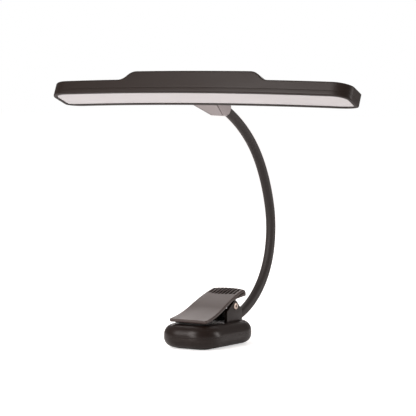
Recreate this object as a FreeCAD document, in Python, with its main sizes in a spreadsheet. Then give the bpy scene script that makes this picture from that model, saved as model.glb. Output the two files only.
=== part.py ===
import FreeCAD, Part
import math
import os
import Sketcher
from FreeCAD import Rotation, Vector

# Clip-on piano lamp: a wide arched light head on a bent gooseneck, carried by a
# pillow-shaped base whose spring lever clips the base to a music stand.
# Frame: X along the head, Y to the rear, Z up. The origin is the centre of the foot.

doc = FreeCAD.newDocument("piano_lamp")
sheet = doc.addObject("Spreadsheet::Sheet", "sizes")

# Driving dimensions in millimetres and degrees
SIZES = [
    # base
    ("base_length", 84.0), ("base_width", 55.0), ("base_top", 21.5), ("base_corner", 16.0),
    ("base_top_round", 9.5), ("base_foot_round", 8.5), ("base_wall", 2.0), ("shell_split", 11.0),
    ("foot_thick", 1.0), ("foot_length", 63.0), ("foot_width", 34.0), ("foot_corner", 7.0),
    ("post_radius", 3.2), ("post_across", 15.0), ("post_along", 27.0), ("screw_radius", 1.3),
    ("screw_head_radius", 2.4), ("screw_head_thick", 1.6), ("base_screw_long", 10.0),
    ("post_seat", 2.0), ("pilot_long", 9.0), ("pilot_grip", 0.02), ("seat_clearance", 0.1),
    ("parting_gap", 0.02),
    # ears, pin and spring
    ("ear_front", 4.4), ("ear_rear", 29.7), ("ear_shoulder", 31.0), ("ear_thick", 3.2),
    ("ear_round", 4.9), ("ear_outer", 17.8), ("pin_along", 18.4), ("pin_height", 35.0),
    ("pin_radius", 2.2), ("pin_bore", 1.1), ("pin_head_radius", 3.1), ("pin_head_thick", 0.9),
    ("running_clearance", 0.05), ("coil_radius", 4.0), ("coil_wire", 1.2), ("coil_pitch", 2.0),
    ("coil_turns", 4.0), ("coil_upper_leg", 10.5), ("coil_upper_slope", 14.5),
    ("coil_lower_reach", 12.4),
    # lever
    ("lever_front", -30.5), ("lever_front_height", 27.5), ("lever_front_slope", 8.0),
    ("lever_thick", 3.0), ("lever_front_width", 40.0), ("lever_rear_width", 35.5),
    ("lever_low_radius", 108.0), ("lever_low_turn", 17.0), ("lever_high_radius", 172.0),
    ("lever_high_turn", 11.0), ("lever_tail_radius", 6.0), ("lever_tail_turn", 85.0),
    ("lever_corner", 7.0), ("lever_corner_side", 2.2), ("lever_corner_back", 2.6),
    ("lever_rear_bow", 0.9), ("lug_front_spread", 4.0), ("lug_rear_spread", 3.0),
    ("lug_outer", 14.2), ("lug_thick", 3.0), ("lug_round", 5.0), ("grip_slot_count", 8),
    ("grip_slot_pitch", 3.5), ("grip_slot_width", 1.7), ("grip_slot_long", 6.5),
    ("grip_slot_deep", 1.3), ("grip_slot_at", 25.5), ("grip_slot_bow", 3.0),
    ("grip_slot_slope", 15.65),
    ("jaw_pad_thick", 0.6), ("jaw_pad_long", 12.0), ("jaw_pad_wide", 26.0),
    ("jaw_pad_at", -23.5), ("jaw_pad_corner", 2.0), ("jaw_gap", 0.3), ("lever_pad_wide", 34.0),
    # gooseneck
    ("neck_radius", 4.5), ("core_radius", 2.0), ("core_clearance", 0.03), ("cup_clearance", 0.3),
    ("neck_run", 39.66), ("neck_start_angle", 20.2), ("neck_start_along", 56.4),
    ("neck_start_height", 24.8), ("bend_one", 82.8), ("bend_two", 74.9), ("bend_three", 88.0),
    ("bend_four", 144.6), ("bend_five", 116.5), ("bend_six", 152.6), ("neck_root", 22.0),
    ("neck_tip", 20.0), ("core_end_gap", 7.0), ("gland_radius", 6.3), ("gland_tip_radius", 5.6),
    ("gland_length", 13.0), ("gland_at", 20.5),
    # light head
    ("head_reach", 52.6182), ("head_drop", 11.3460), ("head_to_neck_angle", 176.9153),
    ("head_length", 313.0),
    ("head_depth", 32.0), ("head_bow", 1870.0), ("head_corner_long", 20.0),
    ("head_corner_deep", 6.0), ("head_thick", 12.6), ("cover_split", 4.2), ("cover_wall", 1.8),
    ("bulge_height", 8.0), ("bulge_foot", 162.0), ("bulge_crest", 128.0),
    ("bezel_rim", 3.8), ("bezel_wall", 2.8), ("bezel_ledge", 1.6), ("lens_thick", 1.2),
    ("lens_recess", 0.6), ("fit_gap", 0.15), ("tray_inset", 2.0), ("tray_wall", 1.0),
    ("tray_top", 8.0), ("strip_width", 13.0), ("strip_thick", 1.2), ("strip_length", 284.0),
    ("chip_count", 20), ("chip_long", 3.2), ("chip_thick", 0.7), ("head_post_radius", 3.0),
    ("head_post_near", 92.0), ("head_post_far", 132.0), ("head_post_back", 9.5),
    ("head_pilot_long", 2.6), ("head_screw_long", 4.2), ("head_screw_head", 1.0),
    ("small_head_radius", 2.1), ("tray_hole_room", 3.0), ("mount_hole_room", 4.0),
    ("board_post_radius", 2.2), ("board_post_end", 3.0),
    ("board_long", 62.0), ("board_wide", 16.0), ("board_thick", 1.6), ("board_at", 13.0),
    ("button_radius", 4.5), ("button_flange", 5.6), ("button_flange_thick", 0.8),
    ("button_flange_gap", 0.4), ("button_spread", 16.0), ("strip_end_room", 7.0),
    ("button_proud", 1.0), ("button_travel", 0.8), ("button_gap", 0.3), ("switch_side", 6.0),
    # neck mount on the head
    ("mount_root_width", 32.6), ("mount_end_width", 16.4), ("mount_reach", 24.3),
    ("mount_nose", 11.5), ("mount_nose_radius", 6.3), ("mount_drop", 0.9), ("mount_bore", 4.6),
    ("ferrule_length", 7.0), ("ferrule_radius", 3.4), ("mount_screw_across", 11.5),
    ("mount_screw_height", 11.2), ("mount_screw_long", 8.0), ("mount_screw_head", 1.4),
    ("mount_edge", 0.2), ("mount_root_corner", 1.5), ("mount_end_corner", 2.5),
    # electrics in the base
    ("cell_long", 30.0), ("cell_wide", 38.0), ("cell_thick", 9.0), ("cell_at", -7.0),
    ("cell_corner", 2.0), ("charge_long", 13.0), ("charge_wide", 30.0), ("charge_level", 6.2),
    ("charge_shift", -8.0), ("charge_at", 16.2), ("rest_radius", 1.8), ("rest_side", 4.0),
    ("rest_end", 2.2),
    ("port_wide", 9.0), ("port_high", 3.2), ("port_deep", 7.4), ("port_wall", 0.35),
    ("port_along", 16.2), ("port_back", 1.0), ("tongue_thick", 0.7), ("tongue_side", 1.2),
    ("tongue_short", 1.6), ("light_pipe_radius", 1.2), ("light_pipe_long", 5.0),
    ("light_pipe_along", 9.6),
]
for row, (alias, value) in enumerate(SIZES, start=1):
    sheet.set("A%d" % row, alias)
    sheet.set("B%d" % row, str(value))
    sheet.setAlias("B%d" % row, alias)
doc.recompute()

SUBPARTS = []


def size(alias):
    return float(sheet.get(alias))


def finish(thing, label):
    # A finished sub-part: its label names its file
    thing.Label = label
    SUBPARTS.append(thing)
    return thing


def bind(thing, **expressions):
    for name, expression in expressions.items():
        thing.setExpression(name, expression)
    return thing


def place(thing, at=Vector(), turn=Rotation()):
    thing.Placement = FreeCAD.Placement(at, turn)
    return thing


# Plain solids bound to the sheet

def cylinder(name, radius, height, at=Vector(), turn=Rotation()):
    return place(bind(doc.addObject("Part::Cylinder", name), Radius=radius, Height=height), at, turn)


def cone(name, low, high, height, at=Vector(), turn=Rotation()):
    thing = bind(doc.addObject("Part::Cone", name), Radius1=low, Radius2=high, Height=height)
    return place(thing, at, turn)


def ball(name, radius, at):
    return place(bind(doc.addObject("Part::Sphere", name), Radius=radius), at)


def box(name, long, wide, high, at=Vector(), turn=Rotation()):
    thing = bind(doc.addObject("Part::Box", name), Length=long, Width=wide, Height=high)
    return place(thing, at, turn)


def cut(name, base, *tools):
    for number, tool in enumerate(tools):
        step = doc.addObject("Part::Cut", "%s_cut_%d" % (name, number))
        step.Base = base
        step.Tool = tool
        base = step
    return base


def fuse(name, *shapes):
    thing = doc.addObject("Part::MultiFuse", name)
    thing.Shapes = list(shapes)
    return thing


def common(name, one, other):
    thing = doc.addObject("Part::MultiCommon", name)
    thing.Shapes = [one, other]
    return thing


def group(name, shapes):
    thing = doc.addObject("Part::Compound", name)
    thing.Links = list(shapes)
    return thing


# Bodies from sketches

def origin_plane(body, role):
    return [feature for feature in body.Origin.OriginFeatures if feature.Role == role][0]


def new_sketch(body, name, role):
    sketch = body.newObject("Sketcher::SketchObject", name)
    sketch.AttachmentSupport = [(origin_plane(body, role), "")]
    sketch.MapMode = "FlatFace"
    return sketch


def rectangle(sketch, wide, high):
    # A rectangle centred on the sketch's origin, with its two sizes bound
    corners = [Vector(-1, -1), Vector(1, -1), Vector(1, 1), Vector(-1, 1)]
    for start, end in zip(corners, corners[1:] + corners[:1]):
        sketch.addGeometry(Part.LineSegment(start, end), False)
    for side in range(4):
        sketch.addConstraint(Sketcher.Constraint("Coincident", side, 2, (side + 1) % 4, 1))
    for side, kind in enumerate(("Horizontal", "Vertical", "Horizontal", "Vertical")):
        sketch.addConstraint(Sketcher.Constraint(kind, side))
    sketch.addConstraint(Sketcher.Constraint("Symmetric", 0, 1, 2, 1, -1, 1))
    across = sketch.addConstraint(Sketcher.Constraint("DistanceX", 0, 1, 0, 2, 2.0))
    along = sketch.addConstraint(Sketcher.Constraint("DistanceY", 1, 1, 1, 2, 2.0))
    sketch.setExpression("Constraints[%d]" % across, wide)
    sketch.setExpression("Constraints[%d]" % along, high)


def upright(edge):
    low, high = edge.BoundBox.ZMin, edge.BoundBox.ZMax
    return high - low > 0.5 * edge.Length and edge.BoundBox.DiagonalLength < 1.01 * (high - low)


def round_edges(body, name, base, chosen, radius):
    doc.recompute()
    names = ["Edge%d" % number for number, edge in enumerate(base.Shape.Edges, 1) if chosen(edge)]
    step = body.newObject("PartDesign::Fillet", name)
    step.Base = (base, names)
    step.setExpression("Radius", radius)
    body.Tip = step
    return step


def slab(name, wide, long, high, corner=None, at=Vector(), turn=Rotation()):
    # A flat piece with rounded upright corners, standing on its own XY plane
    body = doc.addObject("PartDesign::Body", name)
    outline = new_sketch(body, name + "_outline", "XY_Plane")
    rectangle(outline, wide, long)
    pad = body.newObject("PartDesign::Pad", name + "_pad")
    pad.Profile = outline
    pad.setExpression("Length", high)
    body.Tip = pad
    if corner:
        round_edges(body, name + "_corners", pad, upright, corner)
    return place(body, at, turn)


def plate(name, plane, outline, thick, at=Vector(), turn=Rotation()):
    # A body padded evenly to both sides of one of its origin planes
    body = doc.addObject("PartDesign::Body", name)
    sketch = new_sketch(body, name + "_outline", plane)
    sketch.addGeometry(outline, False)
    pad = body.newObject("PartDesign::Pad", name + "_pad")
    pad.Profile = sketch
    pad.setExpression("Length", thick)
    pad.SideType = "Symmetric"
    body.Tip = pad
    return place(body, at, turn)


def s(alias):
    return "sizes." + alias


# Pillow-shaped base in two shells

def pillow(name, inset):
    # The base's rounded block, or its hollow when it is drawn in by the wall
    low = size("foot_thick") + inset
    wide = "sizes.base_width - 2 * %g" % inset
    long = "sizes.base_length - 2 * %g" % inset
    high = "sizes.base_top - sizes.foot_thick - 2 * %g" % inset
    body = doc.addObject("PartDesign::Body", name)
    outline = new_sketch(body, name + "_outline", "XY_Plane")
    rectangle(outline, wide, long)
    pad = body.newObject("PartDesign::Pad", name + "_pad")
    pad.Profile = outline
    pad.setExpression("Length", high)
    body.Tip = pad
    corners = round_edges(body, name + "_corners", pad, upright, "sizes.base_corner - %g" % inset)
    doc.recompute()
    top = corners.Shape.BoundBox.ZMax
    crown = round_edges(body, name + "_crown", corners, lambda edge: edge.BoundBox.ZMin > top - 0.01,
                        "sizes.base_top_round - %g" % inset)
    round_edges(body, name + "_foot", crown, lambda edge: edge.BoundBox.ZMax < 0.01,
                "sizes.base_foot_round - %g" % inset)
    return place(body, Vector(0, 0, low))


def half_space(name, low, high):
    span = size("base_length")
    thing = doc.addObject("Part::Box", name)
    bind(thing, Length="2 * sizes.base_length", Width="2 * sizes.base_length")
    thing.Height = high - low
    return place(thing, Vector(-span, -span, low))


neck_axis = Vector(0, math.cos(math.radians(size("neck_start_angle"))),
                   math.sin(math.radians(size("neck_start_angle"))))
neck_turn = Rotation(Vector(0, 0, 1), neck_axis)
neck_start = Vector(0, size("neck_start_along"), size("neck_start_height"))
pin_centre = Vector(0, size("pin_along"), size("pin_height"))
across_turn = Rotation(Vector(0, 0, 1), Vector(1, 0, 0))
port_centre = Vector(-size("base_width") / 2, size("port_along"),
                     size("charge_level") + size("board_thick") + size("port_high") / 2)
post_places = [(sx * size("post_across"), sy * size("post_along")) for sx in (-1, 1) for sy in (-1, 1)]
foot = size("foot_thick")
wall = size("base_wall")
gap = size("seat_clearance")

foot_pad = slab("foot_pad_body", s("foot_width"), s("foot_length"), s("foot_thick"), s("foot_corner"))
finish(foot_pad, "foot_pad")

lower_block = common("lower_block", pillow("lower_outside", 0.0),
                     half_space("lower_room", 0.0, size("shell_split")))
lower_hollow = pillow("lower_inside", wall)
port_cut = box("lower_port_cut", "sizes.base_wall * 6", "sizes.port_wide + 2 * sizes.seat_clearance",
               "sizes.port_high + 2 * sizes.seat_clearance",
               port_centre + Vector(-1, -size("port_wide") / 2 - gap, -size("port_high") / 2 - gap))
lower_holes = []
for number, (x, y) in enumerate(post_places):
    lower_holes.append(cylinder("lower_hole_%d" % number, "sizes.screw_radius + sizes.seat_clearance",
                                "sizes.base_wall * 3", Vector(x, y, foot - wall)))
    lower_holes.append(cylinder("lower_sink_%d" % number,
                                "sizes.screw_head_radius + sizes.seat_clearance",
                                "sizes.screw_head_thick + sizes.seat_clearance", Vector(x, y, foot)))
post_low = foot + wall + size("post_seat")
seats = [cylinder("lower_seat_%d" % number, s("post_radius"),
                  "sizes.post_seat - sizes.seat_clearance",
                  Vector(x, y, foot + wall)) for number, (x, y) in enumerate(post_places)]
rests = []
for number, (sx, sy) in enumerate([(-1, -1), (-1, 1), (1, -1), (1, 1)]):
    x = size("charge_shift") + sx * (size("charge_wide") / 2 - size("rest_side"))
    y = size("charge_at") + sy * (size("charge_long") / 2 - size("rest_end"))
    rests.append(cylinder("board_rest_%d" % number, s("rest_radius"),
                          "sizes.charge_level - sizes.foot_thick - sizes.base_wall",
                          Vector(x, y, foot + wall)))
pipe_bore = cylinder("lower_pipe_bore", "sizes.light_pipe_radius + sizes.seat_clearance",
                     "sizes.base_wall * 4", Vector(-size("base_width") / 2 - 1, size("light_pipe_along"),
                                                   port_centre.z), across_turn)
neck_room = cylinder("neck_room", "sizes.gland_radius + sizes.seat_clearance",
                     "sizes.gland_length * 2", neck_start - neck_axis * (size("gland_at") + 4.0), neck_turn)
lower_shell = cut("lower_shell", fuse("lower_walls", cut("lower_open", lower_block, lower_hollow),
                                      *(seats + rests)), port_cut, pipe_bore, neck_room, *lower_holes)
finish(lower_shell, "base_lower_shell")

upper_block = common("upper_block", pillow("upper_outside", 0.0),
                     half_space("upper_room", size("shell_split") + size("parting_gap"),
                                size("base_length")))
upper_open = cut("upper_open", upper_block, pillow("upper_inside", wall))
post_height = "sizes.base_top - sizes.base_wall * 1.5 - sizes.foot_thick - sizes.post_seat"
posts = [cylinder("upper_post_%d" % number, s("post_radius"), post_height, Vector(x, y, post_low))
         for number, (x, y) in enumerate(post_places)]


def pivot_plate(name, centre_x, front, rear, low, shoulder, round_radius, thick):
    # A plate square to the pin: straight sides below and a round end about the pin
    y, z = size("pin_along"), size("pin_height")
    reach = round_radius * math.sin(math.radians(60))
    rise = round_radius * math.cos(math.radians(60))
    left = Vector(y - reach, z + rise, 0)
    right = Vector(y + reach, z + rise, 0)
    outline = [Part.LineSegment(Vector(front, low, 0), Vector(rear, low, 0)),
               Part.LineSegment(Vector(rear, low, 0), Vector(rear, shoulder, 0)),
               Part.LineSegment(Vector(rear, shoulder, 0), right),
               Part.Arc(right, Vector(y, z + round_radius, 0), left),
               Part.LineSegment(left, Vector(front, shoulder, 0)),
               Part.LineSegment(Vector(front, shoulder, 0), Vector(front, low, 0))]
    return plate(name, "YZ_Plane", outline, thick, Vector(centre_x, 0, 0))


ears = []
for side, sign in (("left", -1), ("right", 1)):
    middle = sign * (size("ear_outer") - size("ear_thick") / 2)
    ears.append(pivot_plate("ear_" + side, middle, size("ear_front"), size("ear_rear"),
                            size("base_top") - wall / 2, size("ear_shoulder"), size("ear_round"),
                            s("ear_thick")))
ear_bore = cylinder("ear_bore", "sizes.pin_radius + sizes.running_clearance", "4 * sizes.ear_outer",
                    pin_centre - Vector(2 * size("ear_outer"), 0, 0), across_turn)
pilots = [cylinder("upper_pilot_%d" % number, "sizes.screw_radius + sizes.pilot_grip", s("pilot_long"),
                   Vector(x, y, post_low - foot)) for number, (x, y) in enumerate(post_places)]
upper_shell = cut("upper_shell", fuse("upper_walls", upper_open, *(posts + ears)),
                  ear_bore, neck_room, *pilots)
finish(upper_shell, "base_upper_shell")

base_screws = []
for number, (x, y) in enumerate(post_places):
    head = cylinder("base_screw_head_%d" % number, s("screw_head_radius"), s("screw_head_thick"),
                    Vector(x, y, foot))
    shank = cylinder("base_screw_shank_%d" % number, s("screw_radius"), s("base_screw_long"),
                     Vector(x, y, foot))
    base_screws.append(fuse("base_screw_%d" % number, head, shank))
finish(group("base_screw_set", base_screws), "base_screws")

# Electrics inside the base

finish(slab("cell_body", s("cell_wide"), s("cell_long"), s("cell_thick"), s("cell_corner"),
            Vector(0, size("cell_at"), foot + wall + gap)), "battery_cell")
finish(slab("charge_body", s("charge_wide"), s("charge_long"), s("board_thick"), None,
            Vector(size("charge_shift"), size("charge_at"), size("charge_level"))), "charge_board")
port_shell = box("port_outside", s("port_deep"), s("port_wide"), s("port_high"),
                 port_centre + Vector(0.3, -size("port_wide") / 2, -size("port_high") / 2))
port_mouth = box("port_inside", "sizes.port_deep - sizes.port_back",
                 "sizes.port_wide - 2 * sizes.port_wall",
                 "sizes.port_high - 2 * sizes.port_wall",
                 port_centre + Vector(0.2, -size("port_wide") / 2 + size("port_wall"),
                                      -size("port_high") / 2 + size("port_wall")))
port_tongue = box("port_tongue", "sizes.port_deep - sizes.tongue_short",
                  "sizes.port_wide - 2 * sizes.tongue_side", s("tongue_thick"),
                  port_centre + Vector(size("tongue_short"), size("tongue_side") - size("port_wide") / 2,
                                       -size("tongue_thick") / 2))
finish(fuse("port_body", cut("port_frame", port_shell, port_mouth), port_tongue), "usb_socket")
finish(cylinder("pipe_body", s("light_pipe_radius"), s("light_pipe_long"),
                Vector(-size("base_width") / 2 + 0.2, size("light_pipe_along"), port_centre.z),
                across_turn), "charge_light_pipe")

# Tubular rivet that the lever turns on

pin_reach = size("ear_outer") + gap
pin_solid = fuse("pin_solid",
                 cylinder("pin_shaft", s("pin_radius"), "2 * (sizes.ear_outer + sizes.seat_clearance)",
                          pin_centre - Vector(pin_reach, 0, 0), across_turn),
                 cylinder("pin_head_left", s("pin_head_radius"), s("pin_head_thick"),
                          pin_centre - Vector(pin_reach + size("pin_head_thick"), 0, 0), across_turn),
                 cylinder("pin_head_right", s("pin_head_radius"), s("pin_head_thick"),
                          pin_centre + Vector(pin_reach, 0, 0), across_turn))
pin_hollow = cylinder("pin_hollow", s("pin_bore"), "4 * sizes.ear_outer",
                      pin_centre - Vector(2 * size("ear_outer"), 0, 0), across_turn)
finish(cut("pin_body", pin_solid, pin_hollow), "pivot_pin")


# S-shaped clip lever

def turtle(start, heading, moves):
    # Tangent arcs in the YZ plane. A move is (radius, turn in degrees, left is positive)
    edges = []
    place_now = start
    for radius, turn in moves:
        side = 1 if turn > 0 else -1
        normal = Vector(-math.sin(heading) * side, math.cos(heading) * side, 0)
        centre = place_now + normal * radius
        points = []
        for share in (0.5, 1.0):
            angle = math.radians(turn) * share
            spoke = normal * -radius
            turned = Vector(spoke.x * math.cos(angle) - spoke.y * math.sin(angle),
                            spoke.x * math.sin(angle) + spoke.y * math.cos(angle), 0)
            points.append(centre + turned)
        edges.append(Part.Arc(place_now, points[0], points[1]))
        place_now = points[1]
        heading += math.radians(turn)
    return edges, place_now, heading


def lever_path(depth):
    # The lever's top line, or a line that lies this deep under it
    slope = math.radians(size("lever_front_slope"))
    start = Vector(size("lever_front"), size("lever_front_height"), 0)
    start += Vector(math.sin(slope), -math.cos(slope), 0) * depth
    moves = [(size("lever_low_radius") + depth, size("lever_low_turn")),
             (size("lever_high_radius") - depth, -size("lever_high_turn")),
             (size("lever_tail_radius") - depth, -size("lever_tail_turn"))]
    return turtle(start, slope, moves)


thick = size("lever_thick")
top_line, top_end, _ = lever_path(0.0)
under_line, under_end, _ = lever_path(thick)
front_top = top_line[0].StartPoint
front_under = under_line[0].StartPoint
section = top_line + [Part.LineSegment(top_end, under_end)] + under_line
section.append(Part.LineSegment(front_under, front_top))
lever_strip = plate("lever_strip", "YZ_Plane", section, "2 * sizes.lever_front_width")
half_front = size("lever_front_width") / 2
half_rear = size("lever_rear_width") / 2
plan_rear = top_end.x + 1.0
plan_front = min(front_top.x, front_under.x) - 0.5
lever_plan = doc.addObject("PartDesign::Body", "lever_plan")
plan_sketch = new_sketch(lever_plan, "lever_plan_outline", "XY_Plane")
corner = size("lever_corner")
side_end = plan_rear - corner
rear_end = half_rear - corner
rear_line = plan_rear - size("lever_rear_bow")
shoulder_x = half_rear - size("lever_corner_side")
shoulder_y = plan_rear - size("lever_corner_back")
plan_sketch.addGeometry([
    Part.LineSegment(Vector(-half_front, plan_front, 0), Vector(half_front, plan_front, 0)),
    Part.LineSegment(Vector(half_front, plan_front, 0), Vector(half_rear, side_end, 0)),
    Part.Arc(Vector(half_rear, side_end, 0), Vector(shoulder_x, shoulder_y, 0),
             Vector(rear_end, rear_line, 0)),
    Part.Arc(Vector(rear_end, rear_line, 0), Vector(0, plan_rear, 0), Vector(-rear_end, rear_line, 0)),
    Part.Arc(Vector(-rear_end, rear_line, 0), Vector(-shoulder_x, shoulder_y, 0),
             Vector(-half_rear, side_end, 0)),
    Part.LineSegment(Vector(-half_rear, side_end, 0), Vector(-half_front, plan_front, 0)),
], False)
plan_pad = lever_plan.newObject("PartDesign::Pad", "lever_plan_pad")
plan_pad.Profile = plan_sketch
plan_pad.setExpression("Length", "sizes.lever_front_height * 4")
lever_plan.Tip = plan_pad
lever_plate = common("lever_plate", lever_strip, lever_plan)


under_curve = Part.Wire([edge.toShape() for edge in under_line[:2]])


def under_height(y):
    # Height of the lever's underside over a place on the Y axis
    column = Part.makeLine(Vector(y, 0, 0), Vector(y, 4 * size("pin_height"), 0))
    return column.distToShape(under_curve)[1][0][0].y


lugs = []
for side, sign in (("left", -1), ("right", 1)):
    middle = sign * (size("lug_outer") - size("lug_thick") / 2)
    y, z, r = size("pin_along"), size("pin_height"), size("lug_round")
    front, rear = y - r - size("lug_front_spread"), y + r + size("lug_rear_spread")
    over = 0.5 * thick
    outline = [Part.LineSegment(Vector(front, under_height(front) + over, 0),
                                Vector(y - r, z, 0)),
               Part.Arc(Vector(y - r, z, 0), Vector(y, z - r, 0), Vector(y + r, z, 0)),
               Part.LineSegment(Vector(y + r, z, 0), Vector(rear, under_height(rear) + over, 0)),
               Part.LineSegment(Vector(rear, under_height(rear) + over, 0),
                                Vector(front, under_height(front) + over, 0))]
    lugs.append(plate("lug_" + side, "YZ_Plane", outline, s("lug_thick"), Vector(middle, 0, 0)))
lug_bore = cylinder("lug_bore", "sizes.pin_radius + sizes.running_clearance", "4 * sizes.lug_outer",
                    pin_centre - Vector(2 * size("lug_outer"), 0, 0), across_turn)
slots = []
slot_count = int(size("grip_slot_count"))
drop_in = size("grip_slot_long") / 2 * math.tan(math.radians(size("grip_slot_slope"))) - 0.11
for number in range(slot_count):
    x = (number - (slot_count - 1) / 2) * size("grip_slot_pitch")
    share = abs(x) / (size("grip_slot_pitch") * slot_count / 2)
    long = size("grip_slot_long") - size("grip_slot_bow") * share ** 2
    y = size("grip_slot_at") - 0.3 * size("grip_slot_bow") * share ** 2
    floor = under_height(y) + thick - size("grip_slot_deep")
    slot = doc.addObject("Part::Box", "grip_slot_%d" % number)
    bind(slot, Length=s("grip_slot_width"), Height="4 * sizes.grip_slot_deep")
    slot.Width = long
    slopes = Rotation(Vector(1, 0, 0), size("grip_slot_slope"))
    corner_point = Vector(x - size("grip_slot_width") / 2, y - long / 2, floor - drop_in)
    slots.append(place(slot, corner_point, slopes))
lever_solid = fuse("lever_solid", lever_plate, *lugs)
finish(cut("lever_body", lever_solid, lug_bore, fuse("grip_slots", *slots)), "clip_lever")

pad_low = size("base_top") + size("jaw_pad_thick") + size("jaw_gap")
clear_line, _, _ = lever_path(thick + size("parting_gap"))
lid = clear_line[:2]
lid_front, lid_rear = lid[0].StartPoint, lid[1].EndPoint
rise = Vector(0, 2 * size("pin_height"), 0)
ahead = Vector(-size("jaw_pad_long"), 0, 0)
lid_outline = lid + [Part.LineSegment(lid_rear, lid_rear + rise),
                     Part.LineSegment(lid_rear + rise, lid_front + ahead + rise),
                     Part.LineSegment(lid_front + ahead + rise, lid_front + ahead),
                     Part.LineSegment(lid_front + ahead, lid_front)]
pad_lid = plate("pad_lid", "YZ_Plane", lid_outline, "4 * sizes.lever_front_width")
pad_block = slab("pad_block", s("lever_pad_wide"), s("jaw_pad_long"), s("base_top"),
                 s("jaw_pad_corner"), Vector(0, size("jaw_pad_at"), pad_low))
finish(cut("lever_pad_body", pad_block, pad_lid), "lever_pad")
finish(slab("jaw_pad_body", s("jaw_pad_wide"), s("jaw_pad_long"), s("jaw_pad_thick"),
            s("jaw_pad_corner"), Vector(0, size("jaw_pad_at"), size("base_top") + 0.01)),
       "base_jaw_pad")


# Torsion spring round the rivet: straight legs and turns of biarcs

def arc_from(start, tangent, end):
    chord = end - start
    along = Vector(chord).normalize()
    bend = tangent - along * tangent.dot(along)
    if bend.Length < 1e-9:
        return Part.LineSegment(start, end).toShape()
    bend.normalize()
    half = math.acos(max(-1.0, min(1.0, tangent.dot(along)))) / 2
    middle = start + chord * 0.5 + bend * (chord.Length / 2 * math.tan(half))
    return Part.Arc(start, middle, end).toShape()


def biarc(start, leave, end, arrive):
    # Two tangent arcs from one point and direction to the next
    chord = end - start
    both = leave + arrive
    a = 2 * (1 - leave.dot(arrive))
    b = 2 * chord.dot(both)
    c = -chord.dot(chord)
    reach = -c / b if abs(a) < 1e-9 else (-b + math.sqrt(b * b - 4 * a * c)) / (2 * a)
    middle = (start + leave * reach + end - arrive * reach) * 0.5
    first = arc_from(start, leave, middle)
    knee = (end - arrive * reach - (start + leave * reach)).normalize()
    return [first, arc_from(middle, knee, end)]


def coil_point(angle, x):
    r = size("coil_radius")
    return pin_centre + Vector(x, r * math.cos(angle), r * math.sin(angle))


def coil_heading(angle, climb):
    flat = Vector(0, math.sin(angle), -math.cos(angle))
    return (flat + Vector(climb, 0, 0)).normalize()


def coil_shape():
    r = size("coil_radius")
    wire = size("coil_wire")
    lower_end = Vector(0, size("coil_lower_reach"), size("base_top") + wire / 2 + gap - size("pin_height"))
    lean = math.atan2(lower_end.z, lower_end.y)
    first = lean - math.acos(r / lower_end.Length)
    upper_slope = math.radians(size("coil_upper_slope"))
    last = upper_slope + math.pi / 2 - 2 * math.pi * (size("coil_turns") + 1)
    quarters = max(4, round((first - last) / (math.pi / 2)))
    step = (first - last) / quarters
    climb = size("coil_pitch") / (2 * math.pi * r)
    width = climb * r * (first - last)
    edges = []
    start = coil_point(first, -width / 2)
    lower = pin_centre + Vector(-width / 2, lower_end.y, lower_end.z)
    edges.append(Part.LineSegment(lower, start).toShape())
    for number in range(quarters):
        here, there = first - number * step, first - (number + 1) * step
        x_here = -width / 2 + width * number / quarters
        x_there = -width / 2 + width * (number + 1) / quarters
        leave = coil_heading(here, 0 if number == 0 else climb)
        arrive = coil_heading(there, 0 if number == quarters - 1 else climb)
        edges += biarc(coil_point(here, x_here), leave, coil_point(there, x_there), arrive)
    end = coil_point(last, width / 2)
    away = coil_heading(last, 0)
    edges.append(Part.LineSegment(end, end + away * size("coil_upper_leg")).toShape())
    path = Part.Wire(edges)
    circle = Part.Wire(Part.Circle(lower, (start - lower).normalize(), wire / 2).toShape())
    points = [point for edge in edges[1:-1] for point in edge.discretize(9)[:-1]]
    least = min((points[i] - points[j]).Length for i in range(len(points))
                for j in range(i + 18, len(points)))
    print("coil spring: least gap to itself %.2f mm" % (least - wire))
    return path.makePipeShell([circle], True, False), path.Length


coil, coil_length = coil_shape()
coil_feature = doc.addObject("Part::Feature", "coil_body")
coil_feature.Shape = coil
print("coil spring volume %.1f, section times length %.1f"
      % (coil.Volume, math.pi * size("coil_wire") ** 2 / 4 * coil_length))
finish(coil_feature, "torsion_spring")

# Gooseneck: a straight root, then six tangent arcs that turn in a ball and cup

finish(cut("gland_body",
           cone("gland_cone", s("gland_radius"), s("gland_tip_radius"), s("gland_length"),
                neck_start - neck_axis * size("gland_at"), neck_turn),
           cylinder("gland_bore", "sizes.neck_radius + sizes.seat_clearance", "sizes.gland_length * 2",
                    neck_start - neck_axis * (size("gland_at") + 5), neck_turn)), "neck_gland")


def neck_tube(name, start, heading, radius, bend, degrees):
    # A tube bent about X: it starts at a point in the YZ plane, and its heading turns left
    tangent = Vector(0, math.cos(heading), math.sin(heading))
    inward = Vector(0, -math.sin(heading), math.cos(heading))
    thing = doc.addObject("Part::Torus", name)
    thing.Angle1 = -180
    thing.Angle2 = 180
    bind(thing, Radius1=bend, Radius2=radius)
    thing.Angle3 = degrees
    centre = start + inward * size(bend.split(".")[1])
    return place(thing, centre, Rotation(inward * -1, tangent, Vector(1, 0, 0), "XYZ")), centre


def turned_about_x(point, centre, angle):
    spoke = point - centre
    return centre + Vector(spoke.x, spoke.y * math.cos(angle) - spoke.z * math.sin(angle),
                           spoke.y * math.sin(angle) + spoke.z * math.cos(angle))


root_start = neck_start - neck_axis * size("neck_root")
root_tube = cylinder("root_tube", s("neck_radius"), s("neck_root"), root_start, neck_turn)
root_ball = ball("root_ball", s("neck_radius"), neck_start)
root_bore = cylinder("root_bore", "sizes.core_radius + sizes.core_clearance",
                     "sizes.neck_root - sizes.core_end_gap + 10", root_start - neck_axis * 10, neck_turn)
finish(cut("root_body", fuse("root_solid", root_tube, root_ball), root_bore), "neck_sleeve_root")
finish(cylinder("root_core", s("core_radius"), "sizes.neck_root - sizes.core_end_gap",
                root_start, neck_turn), "neck_core_root")

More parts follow.
